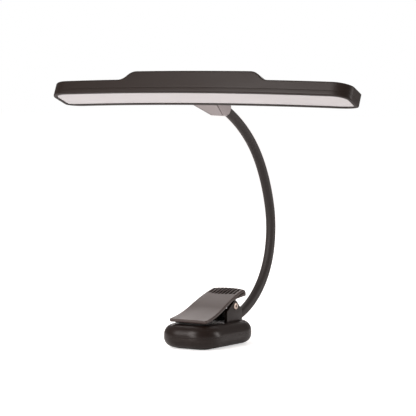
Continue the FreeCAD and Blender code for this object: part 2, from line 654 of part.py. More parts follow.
BENDS = ["bend_one", "bend_two", "bend_three", "bend_four", "bend_five", "bend_six"]
joint_point = neck_start
joint_heading = math.radians(size("neck_start_angle"))
joint_records = []
for number, bend in enumerate(BENDS, start=1):
    radius = size(bend)
    turn = size("neck_run") / radius
    tip = number == len(BENDS)
    joint_records.append((joint_point, joint_heading))
    name = "neck_%d" % number
    tube, centre = neck_tube(name + "_tube", joint_point, joint_heading, s("neck_radius"),
                             "sizes." + bend, math.degrees(turn))
    next_point = turned_about_x(joint_point, centre, turn)
    next_heading = joint_heading + turn
    away = Vector(0, math.cos(next_heading), math.sin(next_heading))
    end_turn = Rotation(Vector(0, 0, 1), away)
    start_gap = size("core_end_gap") / radius
    core_turn = turn - start_gap - (0 if tip else start_gap)
    core_start = turned_about_x(joint_point, centre, start_gap)
    core, _ = neck_tube(name + "_core", core_start, joint_heading + start_gap, s("core_radius"),
                        "sizes." + bend, math.degrees(core_turn))
    bore, _ = neck_tube(name + "_bore", core_start, joint_heading + start_gap,
                        "sizes.core_radius + sizes.core_clearance", "sizes." + bend,
                        math.degrees(core_turn))
    cup = ball(name + "_cup", "sizes.neck_radius + sizes.cup_clearance", joint_point)
    if tip:
        stub = cylinder(name + "_stub", s("neck_radius"), s("neck_tip"), next_point, end_turn)
        stub_core = cylinder(name + "_stub_core", s("core_radius"), s("neck_tip"), next_point, end_turn)
        stub_bore = cylinder(name + "_stub_bore", "sizes.core_radius + sizes.core_clearance",
                             "sizes.neck_tip + 1", next_point, end_turn)
        core = fuse(name + "_whole_core", core, stub_core)
        outside = fuse(name + "_solid", tube, stub)
        sleeve = cut(name + "_body", outside, cup, fuse(name + "_whole_bore", bore, stub_bore))
    else:
        outside = fuse(name + "_solid", tube, ball(name + "_ball", s("neck_radius"), next_point))
        sleeve = cut(name + "_body", outside, cup, bore)
    suffix = "tip" if tip else str(number)
    finish(sleeve, "neck_sleeve_" + suffix)
    finish(core, "neck_core_" + suffix)
    joint_point, joint_heading = next_point, next_heading
tip_point, tip_heading = joint_point, joint_heading
print("neck joints:", [(round(p.y, 3), round(p.z, 3), round(math.degrees(a), 3)) for p, a in joint_records])
print("neck tip:", round(tip_point.y, 3), round(tip_point.z, 3), round(math.degrees(tip_heading), 3))

# Light head: every piece is drawn flat in the head's own frame and then tilted

tip_away = Vector(0, math.cos(tip_heading), math.sin(tip_heading))
tip_under = Vector(0, -math.sin(tip_heading), math.cos(tip_heading))
head_turn = Rotation(Vector(1, 0, 0), math.degrees(tip_heading) - size("head_to_neck_angle"))
head_base = tip_point + tip_away * size("head_reach") + tip_under * size("head_drop")


def on_head(thing, at=Vector(), turn=Rotation()):
    return place(thing, head_base + head_turn.multVec(at), head_turn.multiply(turn))


def arch(x):
    bow = size("head_bow")
    return bow - math.sqrt(bow * bow - x * x)


def head_outline(inset):
    # Two concentric arcs closed by soft quarter ellipses, drawn in by the inset
    bow = size("head_bow")
    half = size("head_depth") / 2
    deep = size("head_corner_deep")
    long = size("head_corner_long")
    angle = (size("head_length") / 2 - long) / bow
    a, b = long - inset, deep - inset
    front, rear = bow + half - deep, bow - half + deep

    def polar(rho, phi):
        return Vector(rho * math.sin(phi), bow - rho * math.cos(phi), 0)

    edges = [Part.Arc(polar(front + b, -angle), polar(front + b, 0), polar(front + b, angle)),
             Part.Arc(polar(rear - b, angle), polar(rear - b, 0), polar(rear - b, -angle))]
    tips = []
    for sign, rho, low in ((1, front, 270), (1, rear, 0), (-1, rear, 90), (-1, front, 180)):
        phi = sign * angle
        centre = polar(rho, phi)
        along = Vector(math.cos(phi), math.sin(phi), 0)
        inward = Vector(-math.sin(phi), math.cos(phi), 0)
        ellipse = Part.Ellipse(centre + along * a, centre + inward * b, centre)
        edges.append(Part.ArcOfEllipse(ellipse, math.radians(low), math.radians(low + 90)))
        tips.append(centre + along * (sign * a))
    edges.append(Part.LineSegment(tips[0], tips[1]))
    edges.append(Part.LineSegment(tips[2], tips[3]))
    return edges


def head_slab(name, inset, low, thick):
    body = doc.addObject("PartDesign::Body", name)
    sketch = new_sketch(body, name + "_outline", "XY_Plane")
    sketch.addGeometry(head_outline(inset), False)
    pad = body.newObject("PartDesign::Pad", name + "_pad")
    pad.Profile = sketch
    pad.setExpression("Length", thick)
    body.Tip = pad
    return on_head(body, Vector(0, 0, low))


def brow(name, inset, low):
    # The head's front view: thin wings and the raised middle with S-shaped ends
    wing = size("head_thick") - inset
    crest = wing + size("bulge_height")
    foot_x = size("bulge_foot") / 2 - inset
    crest_x = size("bulge_crest") / 2 - inset
    far = size("head_length")
    middle = Vector((foot_x + crest_x) / 2, (wing + crest) / 2, 0)
    run, rise = foot_x - crest_x, size("bulge_height")
    radius = (run * run + rise * rise) / (4 * rise)
    half_turn = math.atan2(rise, run)
    edges = []
    for sign in (1, -1):
        lower_mid = Vector(sign * (foot_x - radius * math.sin(half_turn)),
                           wing + radius * (1 - math.cos(half_turn)), 0)
        upper_mid = Vector(sign * (crest_x + radius * math.sin(half_turn)),
                           crest - radius * (1 - math.cos(half_turn)), 0)
        knee = Vector(sign * middle.x, middle.y, 0)
        edges.append(Part.LineSegment(Vector(sign * far, low, 0), Vector(sign * far, wing, 0)))
        edges.append(Part.LineSegment(Vector(sign * far, wing, 0), Vector(sign * foot_x, wing, 0)))
        edges.append(Part.Arc(Vector(sign * foot_x, wing, 0), lower_mid, knee))
        edges.append(Part.Arc(knee, upper_mid, Vector(sign * crest_x, crest, 0)))
    edges.append(Part.LineSegment(Vector(-crest_x, crest, 0), Vector(crest_x, crest, 0)))
    edges.append(Part.LineSegment(Vector(-far, low, 0), Vector(far, low, 0)))
    return on_head(plate(name, "XZ_Plane", edges, "4 * sizes.head_depth"))


split = size("cover_split")
tall = "sizes.head_thick + sizes.bulge_height + 5"
cover_outside = common("cover_outside", brow("brow_outside", 0.0, split),
                       head_slab("cover_plan", 0.0, split, tall))
cover_inside = common("cover_inside", brow("brow_inside", size("cover_wall"), split - 1.0),
                      head_slab("cover_hollow", size("cover_wall"), split - 1.0, tall))
wing_roof = size("head_thick") - size("cover_wall")
crest_roof = wing_roof + size("bulge_height")
head_posts = []
head_screws = []
tray_holes = []
post_pilots = []
spots = [(x, arch(x) + size("head_post_back")) for x in
         (-size("head_post_far"), -size("head_post_near"), size("head_post_near"), size("head_post_far"))]
screw_low = size("tray_top") - size("tray_wall") - size("head_screw_head") - gap
for number, (x, y) in enumerate(spots):
    roof = wing_roof + 0.5 * size("cover_wall")
    post = doc.addObject("Part::Cylinder", "head_post_%d" % number)
    bind(post, Radius=s("head_post_radius"))
    post.Height = roof - size("tray_top") - gap
    head_posts.append(on_head(post, Vector(x, y, size("tray_top") + gap)))
    post_pilots.append(on_head(bind(doc.addObject("Part::Cylinder", "head_pilot_%d" % number),
                                    Radius="sizes.screw_radius + sizes.pilot_grip",
                                    Height=s("head_pilot_long")),
                               Vector(x, y, size("tray_top"))))
    tray_holes.append(on_head(bind(doc.addObject("Part::Cylinder", "tray_hole_%d" % number),
                                   Radius="sizes.screw_radius + sizes.seat_clearance",
                                   Height="2 * sizes.tray_hole_room"),
                              Vector(x, y, size("tray_top") - size("tray_hole_room"))))
    head = on_head(bind(doc.addObject("Part::Cylinder", "head_screw_top_%d" % number),
                        Radius=s("small_head_radius"), Height=s("head_screw_head")),
                   Vector(x, y, screw_low))
    shank = on_head(bind(doc.addObject("Part::Cylinder", "head_screw_shank_%d" % number),
                         Radius=s("screw_radius"), Height=s("head_screw_long")),
                    Vector(x, y, screw_low))
    head_screws.append(fuse("head_screw_%d" % number, head, shank))
board_low = size("board_at")
board_posts = []
board_post_x = size("board_long") / 2 - size("board_post_end")
for number, x in enumerate((-board_post_x, board_post_x)):
    post = doc.addObject("Part::Cylinder", "board_post_%d" % number)
    bind(post, Radius=s("board_post_radius"))
    post.Height = crest_roof + 0.5 * size("cover_wall") - board_low - size("board_thick") - 0.02
    board_posts.append(on_head(post, Vector(x, 0, board_low + size("board_thick") + 0.02)))
button_holes = []
for number, sign in enumerate((-1, 1)):
    button_holes.append(on_head(bind(doc.addObject("Part::Cylinder", "button_hole_%d" % number),
                                     Radius="sizes.button_radius + sizes.button_gap", Height="12.0"),
                                Vector(sign * size("button_spread") / 2, 0, crest_roof - 2.0)))
mount_screw_holes = []
mount_screws = []
mount_pilots = []
back_turn = Rotation(Vector(0, 0, 1), Vector(0, 1, 0))
wall_back = size("head_depth") / 2
for number, sign in enumerate((-1, 1)):
    at = Vector(sign * size("mount_screw_across"), wall_back - size("cover_wall"),
                size("mount_screw_height"))
    mount_screw_holes.append(on_head(bind(
        doc.addObject("Part::Cylinder", "mount_hole_%d" % number),
        Radius="sizes.screw_radius + sizes.seat_clearance", Height="2 * sizes.mount_hole_room"),
        at - Vector(0, size("mount_hole_room"), 0), back_turn))
    top = on_head(bind(doc.addObject("Part::Cylinder", "mount_screw_top_%d" % number),
                       Radius=s("small_head_radius"), Height=s("mount_screw_head")),
                  at - Vector(0, size("mount_screw_head") + gap, 0), back_turn)
    shank = on_head(bind(doc.addObject("Part::Cylinder", "mount_screw_shank_%d" % number),
                         Radius=s("screw_radius"), Height="sizes.mount_screw_long"),
                    at - Vector(0, 1.0 + gap, 0), back_turn)
    mount_screws.append(fuse("mount_screw_%d" % number, top, shank))
    mount_pilots.append(on_head(bind(
        doc.addObject("Part::Cylinder", "mount_pilot_%d" % number),
        Radius="sizes.screw_radius + sizes.pilot_grip", Height="sizes.mount_screw_long + 1"),
        at + Vector(0, size("cover_wall") - 0.5, 0), back_turn))
cover = cut("cover_body", fuse("cover_walls", cut("cover_open", cover_outside, cover_inside),
                               *(head_posts + board_posts)),
            *(post_pilots + button_holes + mount_screw_holes))
finish(cover, "head_top_cover")

ledge = size("bezel_ledge")
bezel_block = head_slab("bezel_block", 0.0, 0.0, "sizes.cover_split - 0.02")
bezel_window = head_slab("bezel_window", size("bezel_rim"), -1.0, "20.0")
bezel_room = head_slab("bezel_room", size("bezel_wall"), ledge, "20.0")
finish(cut("bezel_body", bezel_block, bezel_window, bezel_room), "head_bezel")

fit = size("fit_gap")
lens_flange = head_slab("lens_flange", size("bezel_wall") + fit, ledge + 0.02, s("lens_thick"))
lens_face = head_slab("lens_face", size("bezel_rim") + fit, size("lens_recess"),
                      "sizes.bezel_ledge - sizes.lens_recess + 0.5")
finish(fuse("lens_body", lens_flange, lens_face), "diffuser")

tray_block = head_slab("tray_block", size("tray_inset"), split + 0.02, "sizes.tray_top - sizes.cover_split")
tray_room = head_slab("tray_room", size("tray_inset") + size("tray_wall"), split - 1.0,
                      "sizes.tray_top - sizes.cover_split - sizes.tray_wall + 1.0")
finish(cut("tray_body", tray_block, tray_room, *tray_holes), "reflector_tray")


def strip_outline(half_wide, half_long):
    bow = size("head_bow")
    angle = half_long / bow

    def polar(rho, phi):
        return Vector(rho * math.sin(phi), bow - rho * math.cos(phi), 0)

    return [Part.Arc(polar(bow + half_wide, -angle), polar(bow + half_wide, 0),
                     polar(bow + half_wide, angle)),
            Part.LineSegment(polar(bow + half_wide, angle), polar(bow - half_wide, angle)),
            Part.Arc(polar(bow - half_wide, angle), polar(bow - half_wide, 0),
                     polar(bow - half_wide, -angle)),
            Part.LineSegment(polar(bow - half_wide, -angle), polar(bow + half_wide, -angle))]


strip = doc.addObject("PartDesign::Body", "strip_body")
strip_sketch = new_sketch(strip, "strip_outline", "XY_Plane")
strip_sketch.addGeometry(strip_outline(size("strip_width") / 2, size("strip_length") / 2), False)
strip_pad = strip.newObject("PartDesign::Pad", "strip_pad")
strip_pad.Profile = strip_sketch
strip_pad.setExpression("Length", s("strip_thick"))
strip.Tip = strip_pad
strip_low = size("tray_top") - size("tray_wall") - size("strip_thick")
on_head(strip, Vector(0, 0, strip_low))
finish(strip, "led_strip_board")

chips = []
chip_count = int(size("chip_count"))
chip_pitch = (size("strip_length") - 2 * size("strip_end_room")) / (chip_count - 1)
for number in range(chip_count):
    phi = (number - (chip_count - 1) / 2) * chip_pitch / size("head_bow")
    x = size("head_bow") * math.sin(phi)
    chip = bind(doc.addObject("Part::Box", "chip_%d" % number), Length=s("chip_long"),
                Width=s("chip_long"), Height=s("chip_thick"))
    half_chip = size("chip_long") / 2
    chips.append(on_head(chip, Vector(x - half_chip, arch(x) - half_chip,
                                      strip_low - size("chip_thick") - 0.02)))
finish(group("chip_set", chips), "led_chips")
finish(group("head_screw_set", head_screws), "tray_screws")

control = slab("control_body", s("board_long"), s("board_wide"), s("board_thick"), None)
finish(on_head(control, Vector(0, 0, board_low)), "control_board")
button_low = crest_roof - size("button_flange_gap") - size("button_flange_thick")
switches = []
for number, (name, sign) in enumerate((("power", -1), ("brightness", 1))):
    x = sign * size("button_spread") / 2
    flange = on_head(bind(doc.addObject("Part::Cylinder", name + "_flange"),
                          Radius=s("button_flange"), Height=s("button_flange_thick")),
                     Vector(x, 0, button_low))
    cap_height = crest_roof + size("cover_wall") + size("button_proud") - button_low
    cap = bind(doc.addObject("Part::Cylinder", name + "_cap"), Radius=s("button_radius"))
    cap.Height = cap_height
    on_head(cap, Vector(x, 0, button_low))
    finish(fuse(name + "_body", flange, cap), name + "_button")
    body = bind(doc.addObject("Part::Box", name + "_switch"), Length=s("switch_side"),
                Width=s("switch_side"))
    body.Height = button_low - size("button_travel") - 0.1 - board_low - size("board_thick") - 0.02
    switches.append(on_head(body, Vector(x - size("switch_side") / 2, -size("switch_side") / 2,
                                         board_low + size("board_thick") + 0.02)))
finish(group("switch_set", switches), "tact_switches")

# Wedge behind the head that takes the neck's end

wedge_start = Vector(0, wall_back + 0.12, 0)
reach = size("mount_reach")
nose = size("mount_nose")
high = size("head_thick")
drop = size("mount_drop")


def wedge_section(y, half, low, top, corner):
    # A rounded rectangle square to the neck's end
    points = [Vector(-half + corner, y, low), Vector(half - corner, y, low),
              Vector(half, y, low + corner), Vector(half, y, top - corner),
              Vector(half - corner, y, top), Vector(-half + corner, y, top),
              Vector(-half, y, top - corner), Vector(-half, y, low + corner)]
    edges = []
    slant = corner * (1 - math.sqrt(0.5))
    for number in range(0, 8, 2):
        first, second = points[number], points[number + 1]
        edges.append(Part.LineSegment(first, second).toShape())
        after = points[(number + 2) % 8]
        away = Vector((second.x + after.x) / 2, y, (second.z + after.z) / 2)
        corner_point = Vector(after.x if abs(after.x) > abs(second.x) else second.x, y,
                              second.z if abs(second.z - (low + top) / 2) >
                              abs(after.z - (low + top) / 2) else after.z)
        outward = (corner_point - away).normalize()
        middle = corner_point - outward * (corner * (math.sqrt(2) - 1))
        edges.append(Part.Arc(second, middle, after).toShape())
    return Part.Wire(edges)


tip_local = head_turn.inverted().multVec(tip_point - head_base)
nose_z = tip_local.z
nose_radius = size("mount_nose_radius")
edge = size("mount_edge")
root_wire = wedge_section(wedge_start.y, size("mount_root_width") / 2, edge, high - edge,
                          size("mount_root_corner"))
end_wire = wedge_section(wedge_start.y + reach, size("mount_end_width") / 2, -drop,
                         nose_z + nose_radius, size("mount_end_corner"))
nose_wire = wedge_section(wedge_start.y + reach + nose, nose_radius, nose_z - nose_radius,
                          nose_z + nose_radius, nose_radius - size("mount_root_corner"))
wedge = Part.makeLoft([root_wire, end_wire], True, True).fuse(
    Part.makeLoft([end_wire, nose_wire], True, True)).removeSplitter()
wedge_feature = doc.addObject("Part::Feature", "wedge_solid")
wedge_feature.Shape = wedge
on_head(wedge_feature)
tip_turn = Rotation(Vector(0, 0, 1), tip_away)
sleeve_room = cylinder("sleeve_room", s("mount_bore"), "sizes.neck_tip + 20", tip_point - tip_away * 20,
                       tip_turn)
ferrule_room = cylinder("ferrule_room", "sizes.ferrule_radius + sizes.seat_clearance",
                        "sizes.ferrule_length + 0.4", tip_point + tip_away * (size("neck_tip") - 0.1),
                        tip_turn)
finish(cut("mount_body", wedge_feature, sleeve_room, ferrule_room, *mount_pilots), "neck_mount")
finish(cylinder("ferrule_body", s("ferrule_radius"), s("ferrule_length"),
                tip_point + tip_away * (size("neck_tip") + 0.1), tip_turn), "neck_ferrule")
finish(group("mount_screw_set", mount_screws), "mount_screws")

# Check and write

doc.recompute()
for thing in doc.Objects:
    if "Invalid" in thing.State or "Error" in thing.State:
        raise RuntimeError("failed: %s (%s)" % (thing.Name, thing.Label))
for thing in SUBPARTS:
    if thing.Shape.isNull() or not thing.Shape.isValid():
        raise RuntimeError("bad shape: " + thing.Label)
os.makedirs("parts", exist_ok=True)
for thing in SUBPARTS:
    thing.Shape.exportStep("parts/%s.step" % thing.Label)
print(len(SUBPARTS), "sub-parts written")
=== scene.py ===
"""Clip-on piano lamp: every shape, finish and light of the scene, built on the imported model."""
import math

import bmesh
import bpy
import numpy as np
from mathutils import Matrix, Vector


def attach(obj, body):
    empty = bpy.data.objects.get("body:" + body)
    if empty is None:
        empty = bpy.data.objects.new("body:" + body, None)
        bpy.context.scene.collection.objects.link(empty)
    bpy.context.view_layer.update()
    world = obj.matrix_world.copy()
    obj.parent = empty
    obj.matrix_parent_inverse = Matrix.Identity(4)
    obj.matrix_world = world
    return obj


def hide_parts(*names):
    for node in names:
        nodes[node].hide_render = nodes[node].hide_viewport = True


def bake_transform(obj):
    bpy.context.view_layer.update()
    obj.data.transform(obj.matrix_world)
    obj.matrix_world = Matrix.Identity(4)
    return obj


bl_info = {
    "name": "Piano Lamp",
    "version": (1, 0, 0),
    "blender": (4, 5, 0),
    "location": "3D View > Sidebar > Piano Lamp",
    "description": "Shapes and finishes of a clip-on piano lamp with a bent neck and an arched light head",
    "category": "Object",
}

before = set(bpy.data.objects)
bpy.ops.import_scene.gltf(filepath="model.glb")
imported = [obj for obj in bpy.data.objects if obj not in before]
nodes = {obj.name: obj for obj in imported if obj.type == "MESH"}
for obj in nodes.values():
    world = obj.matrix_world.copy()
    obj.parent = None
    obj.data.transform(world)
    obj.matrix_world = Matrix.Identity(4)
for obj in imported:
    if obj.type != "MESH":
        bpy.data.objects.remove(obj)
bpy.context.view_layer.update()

MM = 0.001
PHOTO_PIXELS = 416


def linear(code):
    """Linear red, green and blue of an sRGB hex colour."""
    steps = np.array([int(code[k:k + 2], 16) for k in (0, 2, 4)]) / 255
    return tuple(np.where(steps <= 0.04045, steps / 12.92, ((steps + 0.055) / 1.055) ** 2.4))


# Settings that a user would change

def length(name, text, millimetres):
    return bpy.props.FloatProperty(name=name, description=text, default=millimetres * MM,
                                   min=0.0, unit="LENGTH", precision=5)


def colour(name, text, code):
    return bpy.props.FloatVectorProperty(name=name, description=text, default=linear(code),
                                         min=0.0, max=1.0, size=3, subtype="COLOR")


def share(name, text, value):
    return bpy.props.FloatProperty(name=name, description=text, default=value, min=0.0, max=1.0,
                                   subtype="FACTOR")


class LampHeadSettings(bpy.types.PropertyGroup):
    edge: length("Edge round", "Radius of the soft edge round the head's top", 1.3)
    rim_edge: length("Rim round", "Radius of the rim's lower outer edge", 0.9)
    parting: length("Parting groove", "Radius of both edges at the line between cover and rim", 0.22)
    shell: colour("Shell", "Moulded black of the cover and rim", "1f1713")
    lens: colour("Diffuser", "Opal white of the light panel", "cdcbcc")
    mount: colour("Mount", "Light grey of the wedge behind the head", "867d7d")


class LampNeckSettings(bpy.types.PropertyGroup):
    radius: length("Radius", "Radius of the silicone sleeve", 4.5)
    sleeve: colour("Sleeve", "Matt black silicone", "211b19")


class LampBaseSettings(bpy.types.PropertyGroup):
    top_round: length("Top round", "Radius between the base's side and its flat top", 9.5)
    foot_round: length("Foot round", "Radius between the base's side and its underside", 8.5)
    parting: length("Parting groove", "Radius of the upper half's lower edge", 0.25)
    ear_edge: length("Ear edge", "Radius round the edges of the two ears", 0.5)
    shell: colour("Shell", "Moulded black of the base", "1a110d")
    rubber: colour("Rubber", "Black of the pads and the collar", "141110")


class LampLeverSettings(bpy.types.PropertyGroup):
    edge: length("Edge round", "Radius round the lever's edges", 1.1)
    slot_depth: length("Slot depth", "Depth of the eight grip slots", 2.4)
    shell: colour("Lever", "Moulded black of the lever", "382d29")
    rivet: colour("Rivet", "Plated steel of the rivet", "d8c6ba")


class LampStageSettings(bpy.types.PropertyGroup):
    floor: colour("Floor", "Pale floor under the lamp", "f4f4f4")
    room: colour("Room", "Warm white of the surround and the light boxes", "fff8f6")
    surround: share("Surround", "Strength of the white surround as the lamp receives it", 0.56)
    mirrored: share("Mirrored surround", "Strength of the surround in reflections", 0.26)


# Meshes from arrays

def grid_faces(rows, columns, wrap_rows=False, wrap_columns=True):
    """Quads of a grid: each joins a point, its neighbour along the row and the two in the next row.
    A wrapped way joins its last line to its first."""
    row, column = np.meshgrid(np.arange(rows - (not wrap_rows)), np.arange(columns - (not wrap_columns)),
                              indexing="ij")
    below, beside = (row + 1) % rows, (column + 1) % columns
    quads = [row * columns + column, row * columns + beside, below * columns + beside,
             below * columns + column]
    return np.stack(quads, -1).reshape(-1, 4)


def make_piece(name, grid, wrap_rows=False, marks=None):
    """A mesh object from a grid of points in mm, (rows, columns, 3). Points that coincide become one,
    so a row drawn to a point or a line closes there, and the faces are turned outwards. Edges over
    35 degrees are sharp. Marks are named numbers at the points, for the finish to read."""
    rows, columns = grid.shape[:2]
    mesh = bpy.data.meshes.new(name)
    faces = grid_faces(rows, columns, wrap_rows)
    mesh.from_pydata((grid.reshape(-1, 3) * MM).tolist(), [], faces.tolist())
    for mark, values in (marks or {}).items():
        mesh.attributes.new(mark, "FLOAT", "POINT").data.foreach_set(
            "value", values.astype(np.float32).ravel())
    work = bmesh.new()
    work.from_mesh(mesh)
    bmesh.ops.remove_doubles(work, verts=work.verts, dist=2e-6)
    bmesh.ops.recalc_face_normals(work, faces=work.faces)
    work.to_mesh(mesh)
    work.free()
    shade(mesh)
    piece = bpy.data.objects.new(name, mesh)
    bpy.context.scene.collection.objects.link(piece)
    return piece


def shade(mesh):
    """Smooth faces, with every edge over 35 degrees sharp."""
    mesh.shade_smooth()
    mesh.set_sharp_from_angle(angle=math.radians(35))


def settle(piece, *cutters):
    """Fixes a piece's modifiers in its mesh, with the cutters' solids taken out of it."""
    for cutter in cutters:
        step = piece.modifiers.new("opening", "BOOLEAN")
        step.object = cutter
        step.solver = "EXACT"
    bpy.context.view_layer.update()
    whole = piece.evaluated_get(bpy.context.evaluated_depsgraph_get())
    mesh = bpy.data.meshes.new_from_object(whole)
    piece.modifiers.clear()
    piece.data = mesh
    shade(mesh)
    for cutter in cutters:
        bpy.data.objects.remove(cutter)
    return piece


def wall(piece, thick):
    """Gives an open surface its wall, inwards from its outer face."""
    step = piece.modifiers.new("wall", "SOLIDIFY")
    step.thickness = thick * MM
    step.offset = -1.0
    return piece


def dress(piece, body, slot, material, *replaced):
    """Puts the finished piece on its body, with its material and the CAD nodes that it stands for."""
    piece.data.materials.clear()
    piece.data.materials.append(material)
    if isinstance(body, str):
        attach(piece, body)
    if replaced:
        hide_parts(*replaced)
    return piece


def rounded_line(corners, radii, steps=6):
    """A line through corners in 2D with each corner turned into an arc that touches both its sides:
    the arc starts and ends at radius times the tangent of half the turn from the corner."""
    corners = np.asarray(corners, float)
    line = [corners[:1]]
    for before, corner, after, radius in zip(corners, corners[1:], corners[2:], radii):
        back = (before - corner) / np.linalg.norm(before - corner)
        ahead = (after - corner) / np.linalg.norm(after - corner)
        half = math.acos(float(np.clip(back @ ahead, -1, 1))) / 2
        if radius <= 0 or half > math.pi / 2 - 0.01:
            line.append(corner[None])
            continue
        bisector = (back + ahead) / np.linalg.norm(back + ahead)
        centre = corner + bisector * radius / math.sin(half)
        start, end = back / math.tan(half) * radius, ahead / math.tan(half) * radius
        first, last = corner + start - centre, corner + end - centre
        turn = math.atan2(first[0] * last[1] - first[1] * last[0], first @ last)
        angle = np.linspace(0, turn, steps)[:, None]
        line.append(centre + first * np.cos(angle) + np.stack([-first[1], first[0]]) * np.sin(angle))
    line.append(corners[-1:])
    return np.concatenate(line)


def rounded_loop(corners, radii, steps=6):
    """A closed line with rounded corners, cut open halfway along its first side."""
    corners = np.asarray(corners, float)
    start = (corners[0] + corners[1]) / 2
    ring = np.concatenate([start[None], corners[1:], corners[:1], start[None]])
    return rounded_line(ring, list(radii[1:]) + [radii[0]], steps)[:-1]


def turned(name, profile, centre, axis, count=48, wrap_rows=False):
    """A profile of (distance along the axis, radius) in mm, carried round the axis in a full circle."""
    axis = np.array(axis) / np.linalg.norm(axis)
    side = np.cross(axis, [1, 0, 0] if abs(axis[0]) < 0.9 else [0, 1, 0])
    side = side / np.linalg.norm(side)
    other = np.cross(axis, side)
    angle = np.linspace(0, 2 * math.pi, count, endpoint=False)[None, :, None]
    along, radius = profile[:, 0, None, None], profile[:, 1, None, None]
    grid = np.array(centre) + axis * along + radius * (side * np.cos(angle) + other * np.sin(angle))
    return make_piece(name, grid, wrap_rows=wrap_rows)


# Materials

def add(tree, kind, inputs=None, **settings):
    """Adds a shader node with its settings. Each input is a value, or a socket that is linked."""
    new = tree.nodes.new("ShaderNode" + kind)
    for key, value in settings.items():
        setattr(new, key, value)
    for key, value in (inputs or {}).items():
        if isinstance(value, bpy.types.NodeSocket):
            tree.links.new(value, new.inputs[key])
        else:
            new.inputs[key].default_value = value
    return new


def per_mm(size):
    """Texture scale at which a pattern's cells are this many mm apart, in metres of the object."""
    return 1 / (size * MM)


def start_material(name, **values):
    """An empty material with a principled shader that holds the uniform values, and the place of
    every point in metres."""
    material = bpy.data.materials.new(name)
    material.use_nodes = True
    tree = material.node_tree
    shader = tree.nodes["Principled BSDF"]
    for key, value in values.items():
        shader.inputs[key.replace("_", " ")].default_value = value
    place = add(tree, "TexCoord").outputs["Object"]
    return material, tree, shader, place


def join(tree, shader, skin, relief, gloss=None):
    """Links colour, bump and, where it varies, roughness to the shader."""
    for socket, name in ((skin, "Base Color"), (relief, "Normal"), (gloss, "Roughness")):
        if socket is not None:
            tree.links.new(socket, shader.inputs[name])


def worn(tree, place, skin, gloss, pale, polish=0.75):
    """Handling rubs what stands out: on edges, and unevenly along them, the colour turns paler and
    the surface smoother. Returns the sockets of both."""
    bend = add(tree, "NewGeometry").outputs["Pointiness"]
    edge = add(tree, "MapRange", {0: bend, 1: 0.52, 2: 0.62})
    patch = add(tree, "TexNoise", {"Vector": place, "Scale": per_mm(7), "Detail": 4.0})
    rubbed = add(tree, "MapRange", {0: patch.outputs[0], 1: 0.4, 2: 0.65, 4: 0.7})
    wear = add(tree, "Math", {0: edge.outputs[0], 1: rubbed.outputs[0]}, operation="MULTIPLY").outputs[0]
    bare = add(tree, "Mix", {0: wear, 6: skin, 7: (*pale, 1)}, data_type="RGBA")
    keen = add(tree, "MapRange", {0: wear, 3: 1.0, 4: polish})
    smooth = add(tree, "Math", {0: gloss, 1: keen.outputs[0]}, operation="MULTIPLY")
    return bare.outputs[2], smooth.outputs[0]


def moulded(name, tone, roughness, grain, depth, haze=0.06, stretch=(1, 1, 1), **values):
    """Injection-moulded plastic: an etched grain as bump, its roughness drifting over a few
    centimetres as handling leaves it, and the pigment a little uneven along the flow of the melt."""
    material, tree, shader, place = start_material(name, **values)
    flow = add(tree, "Mapping", {"Vector": place, "Scale": stretch}).outputs[0]
    etched = add(tree, "TexNoise", {"Vector": place, "Scale": per_mm(grain), "Detail": 3.0})
    drift = add(tree, "TexNoise", {"Vector": flow, "Scale": per_mm(22), "Detail": 4.0})
    dark, light = [c * 0.82 for c in tone], [min(1, c * 1.22) for c in tone]
    pigment = add(tree, "Mix", {0: drift.outputs[0], 6: (*dark, 1), 7: (*light, 1)}, data_type="RGBA")
    gloss = add(tree, "MapRange", {0: drift.outputs[0], 1: 0.3, 2: 0.7, 3: roughness - haze,
                                   4: roughness + haze})
    relief = add(tree, "Bump", {"Height": etched.outputs[0], "Strength": 0.55, "Distance": depth * MM})
    skin, smooth = worn(tree, place, pigment.outputs[2], gloss.outputs[0], [min(1, c * 1.7) for c in tone])
    join(tree, shader, skin, relief.outputs[0], smooth)
    return material


def drawn_metal(name, tone, roughness, along, lines=0.4):
    """Metal with the fine lines that drawing or rolling leaves: noise squeezed across one axis,
    in roughness and bump, with a slight stain in its colour."""
    material, tree, shader, place = start_material(name, Metallic=1.0)
    squeeze = tuple(0.04 if k == along else 1.0 for k in range(3))
    run = add(tree, "Mapping", {"Vector": place, "Scale": squeeze}).outputs[0]
    scratch = add(tree, "TexNoise", {"Vector": run, "Scale": per_mm(lines), "Detail": 5.0})
    stain = add(tree, "TexNoise", {"Vector": place, "Scale": per_mm(3), "Detail": 2.0})
    dull = [c * 0.8 for c in tone]
    skin = add(tree, "Mix", {0: stain.outputs[0], 6: (*dull, 1), 7: (*tone, 1)}, data_type="RGBA")
    gloss = add(tree, "MapRange", {0: scratch.outputs[0], 1: 0.25, 2: 0.75, 3: roughness * 0.7,
                                   4: roughness * 1.3})
    relief = add(tree, "Bump", {"Height": scratch.outputs[0], "Strength": 0.3, "Distance": 0.02 * MM})
    bare, smooth = worn(tree, place, skin.outputs[2], gloss.outputs[0], [min(1, c * 1.15) for c in tone])
    join(tree, shader, bare, relief.outputs[0], smooth)
    return material


def coated_board(name, tone, trace):
    """Circuit board under solder mask: the copper shows through as slightly raised, lighter blocks."""
    material, tree, shader, place = start_material(name, Roughness=0.32, IOR=1.5)
    blocks = add(tree, "TexVoronoi", {"Vector": place, "Scale": per_mm(2.5)}, distance="CHEBYCHEV")
    edge = add(tree, "MapRange", {0: blocks.outputs[0], 1: 0.38, 2: 0.46})
    skin = add(tree, "Mix", {0: edge.outputs[0], 6: (*trace, 1), 7: (*tone, 1)}, data_type="RGBA")
    relief = add(tree, "Bump", {"Height": edge.outputs[0], "Strength": 0.5, "Distance": 0.035 * MM},
                 invert=True)
    join(tree, shader, skin.outputs[2], relief.outputs[0])
    return material


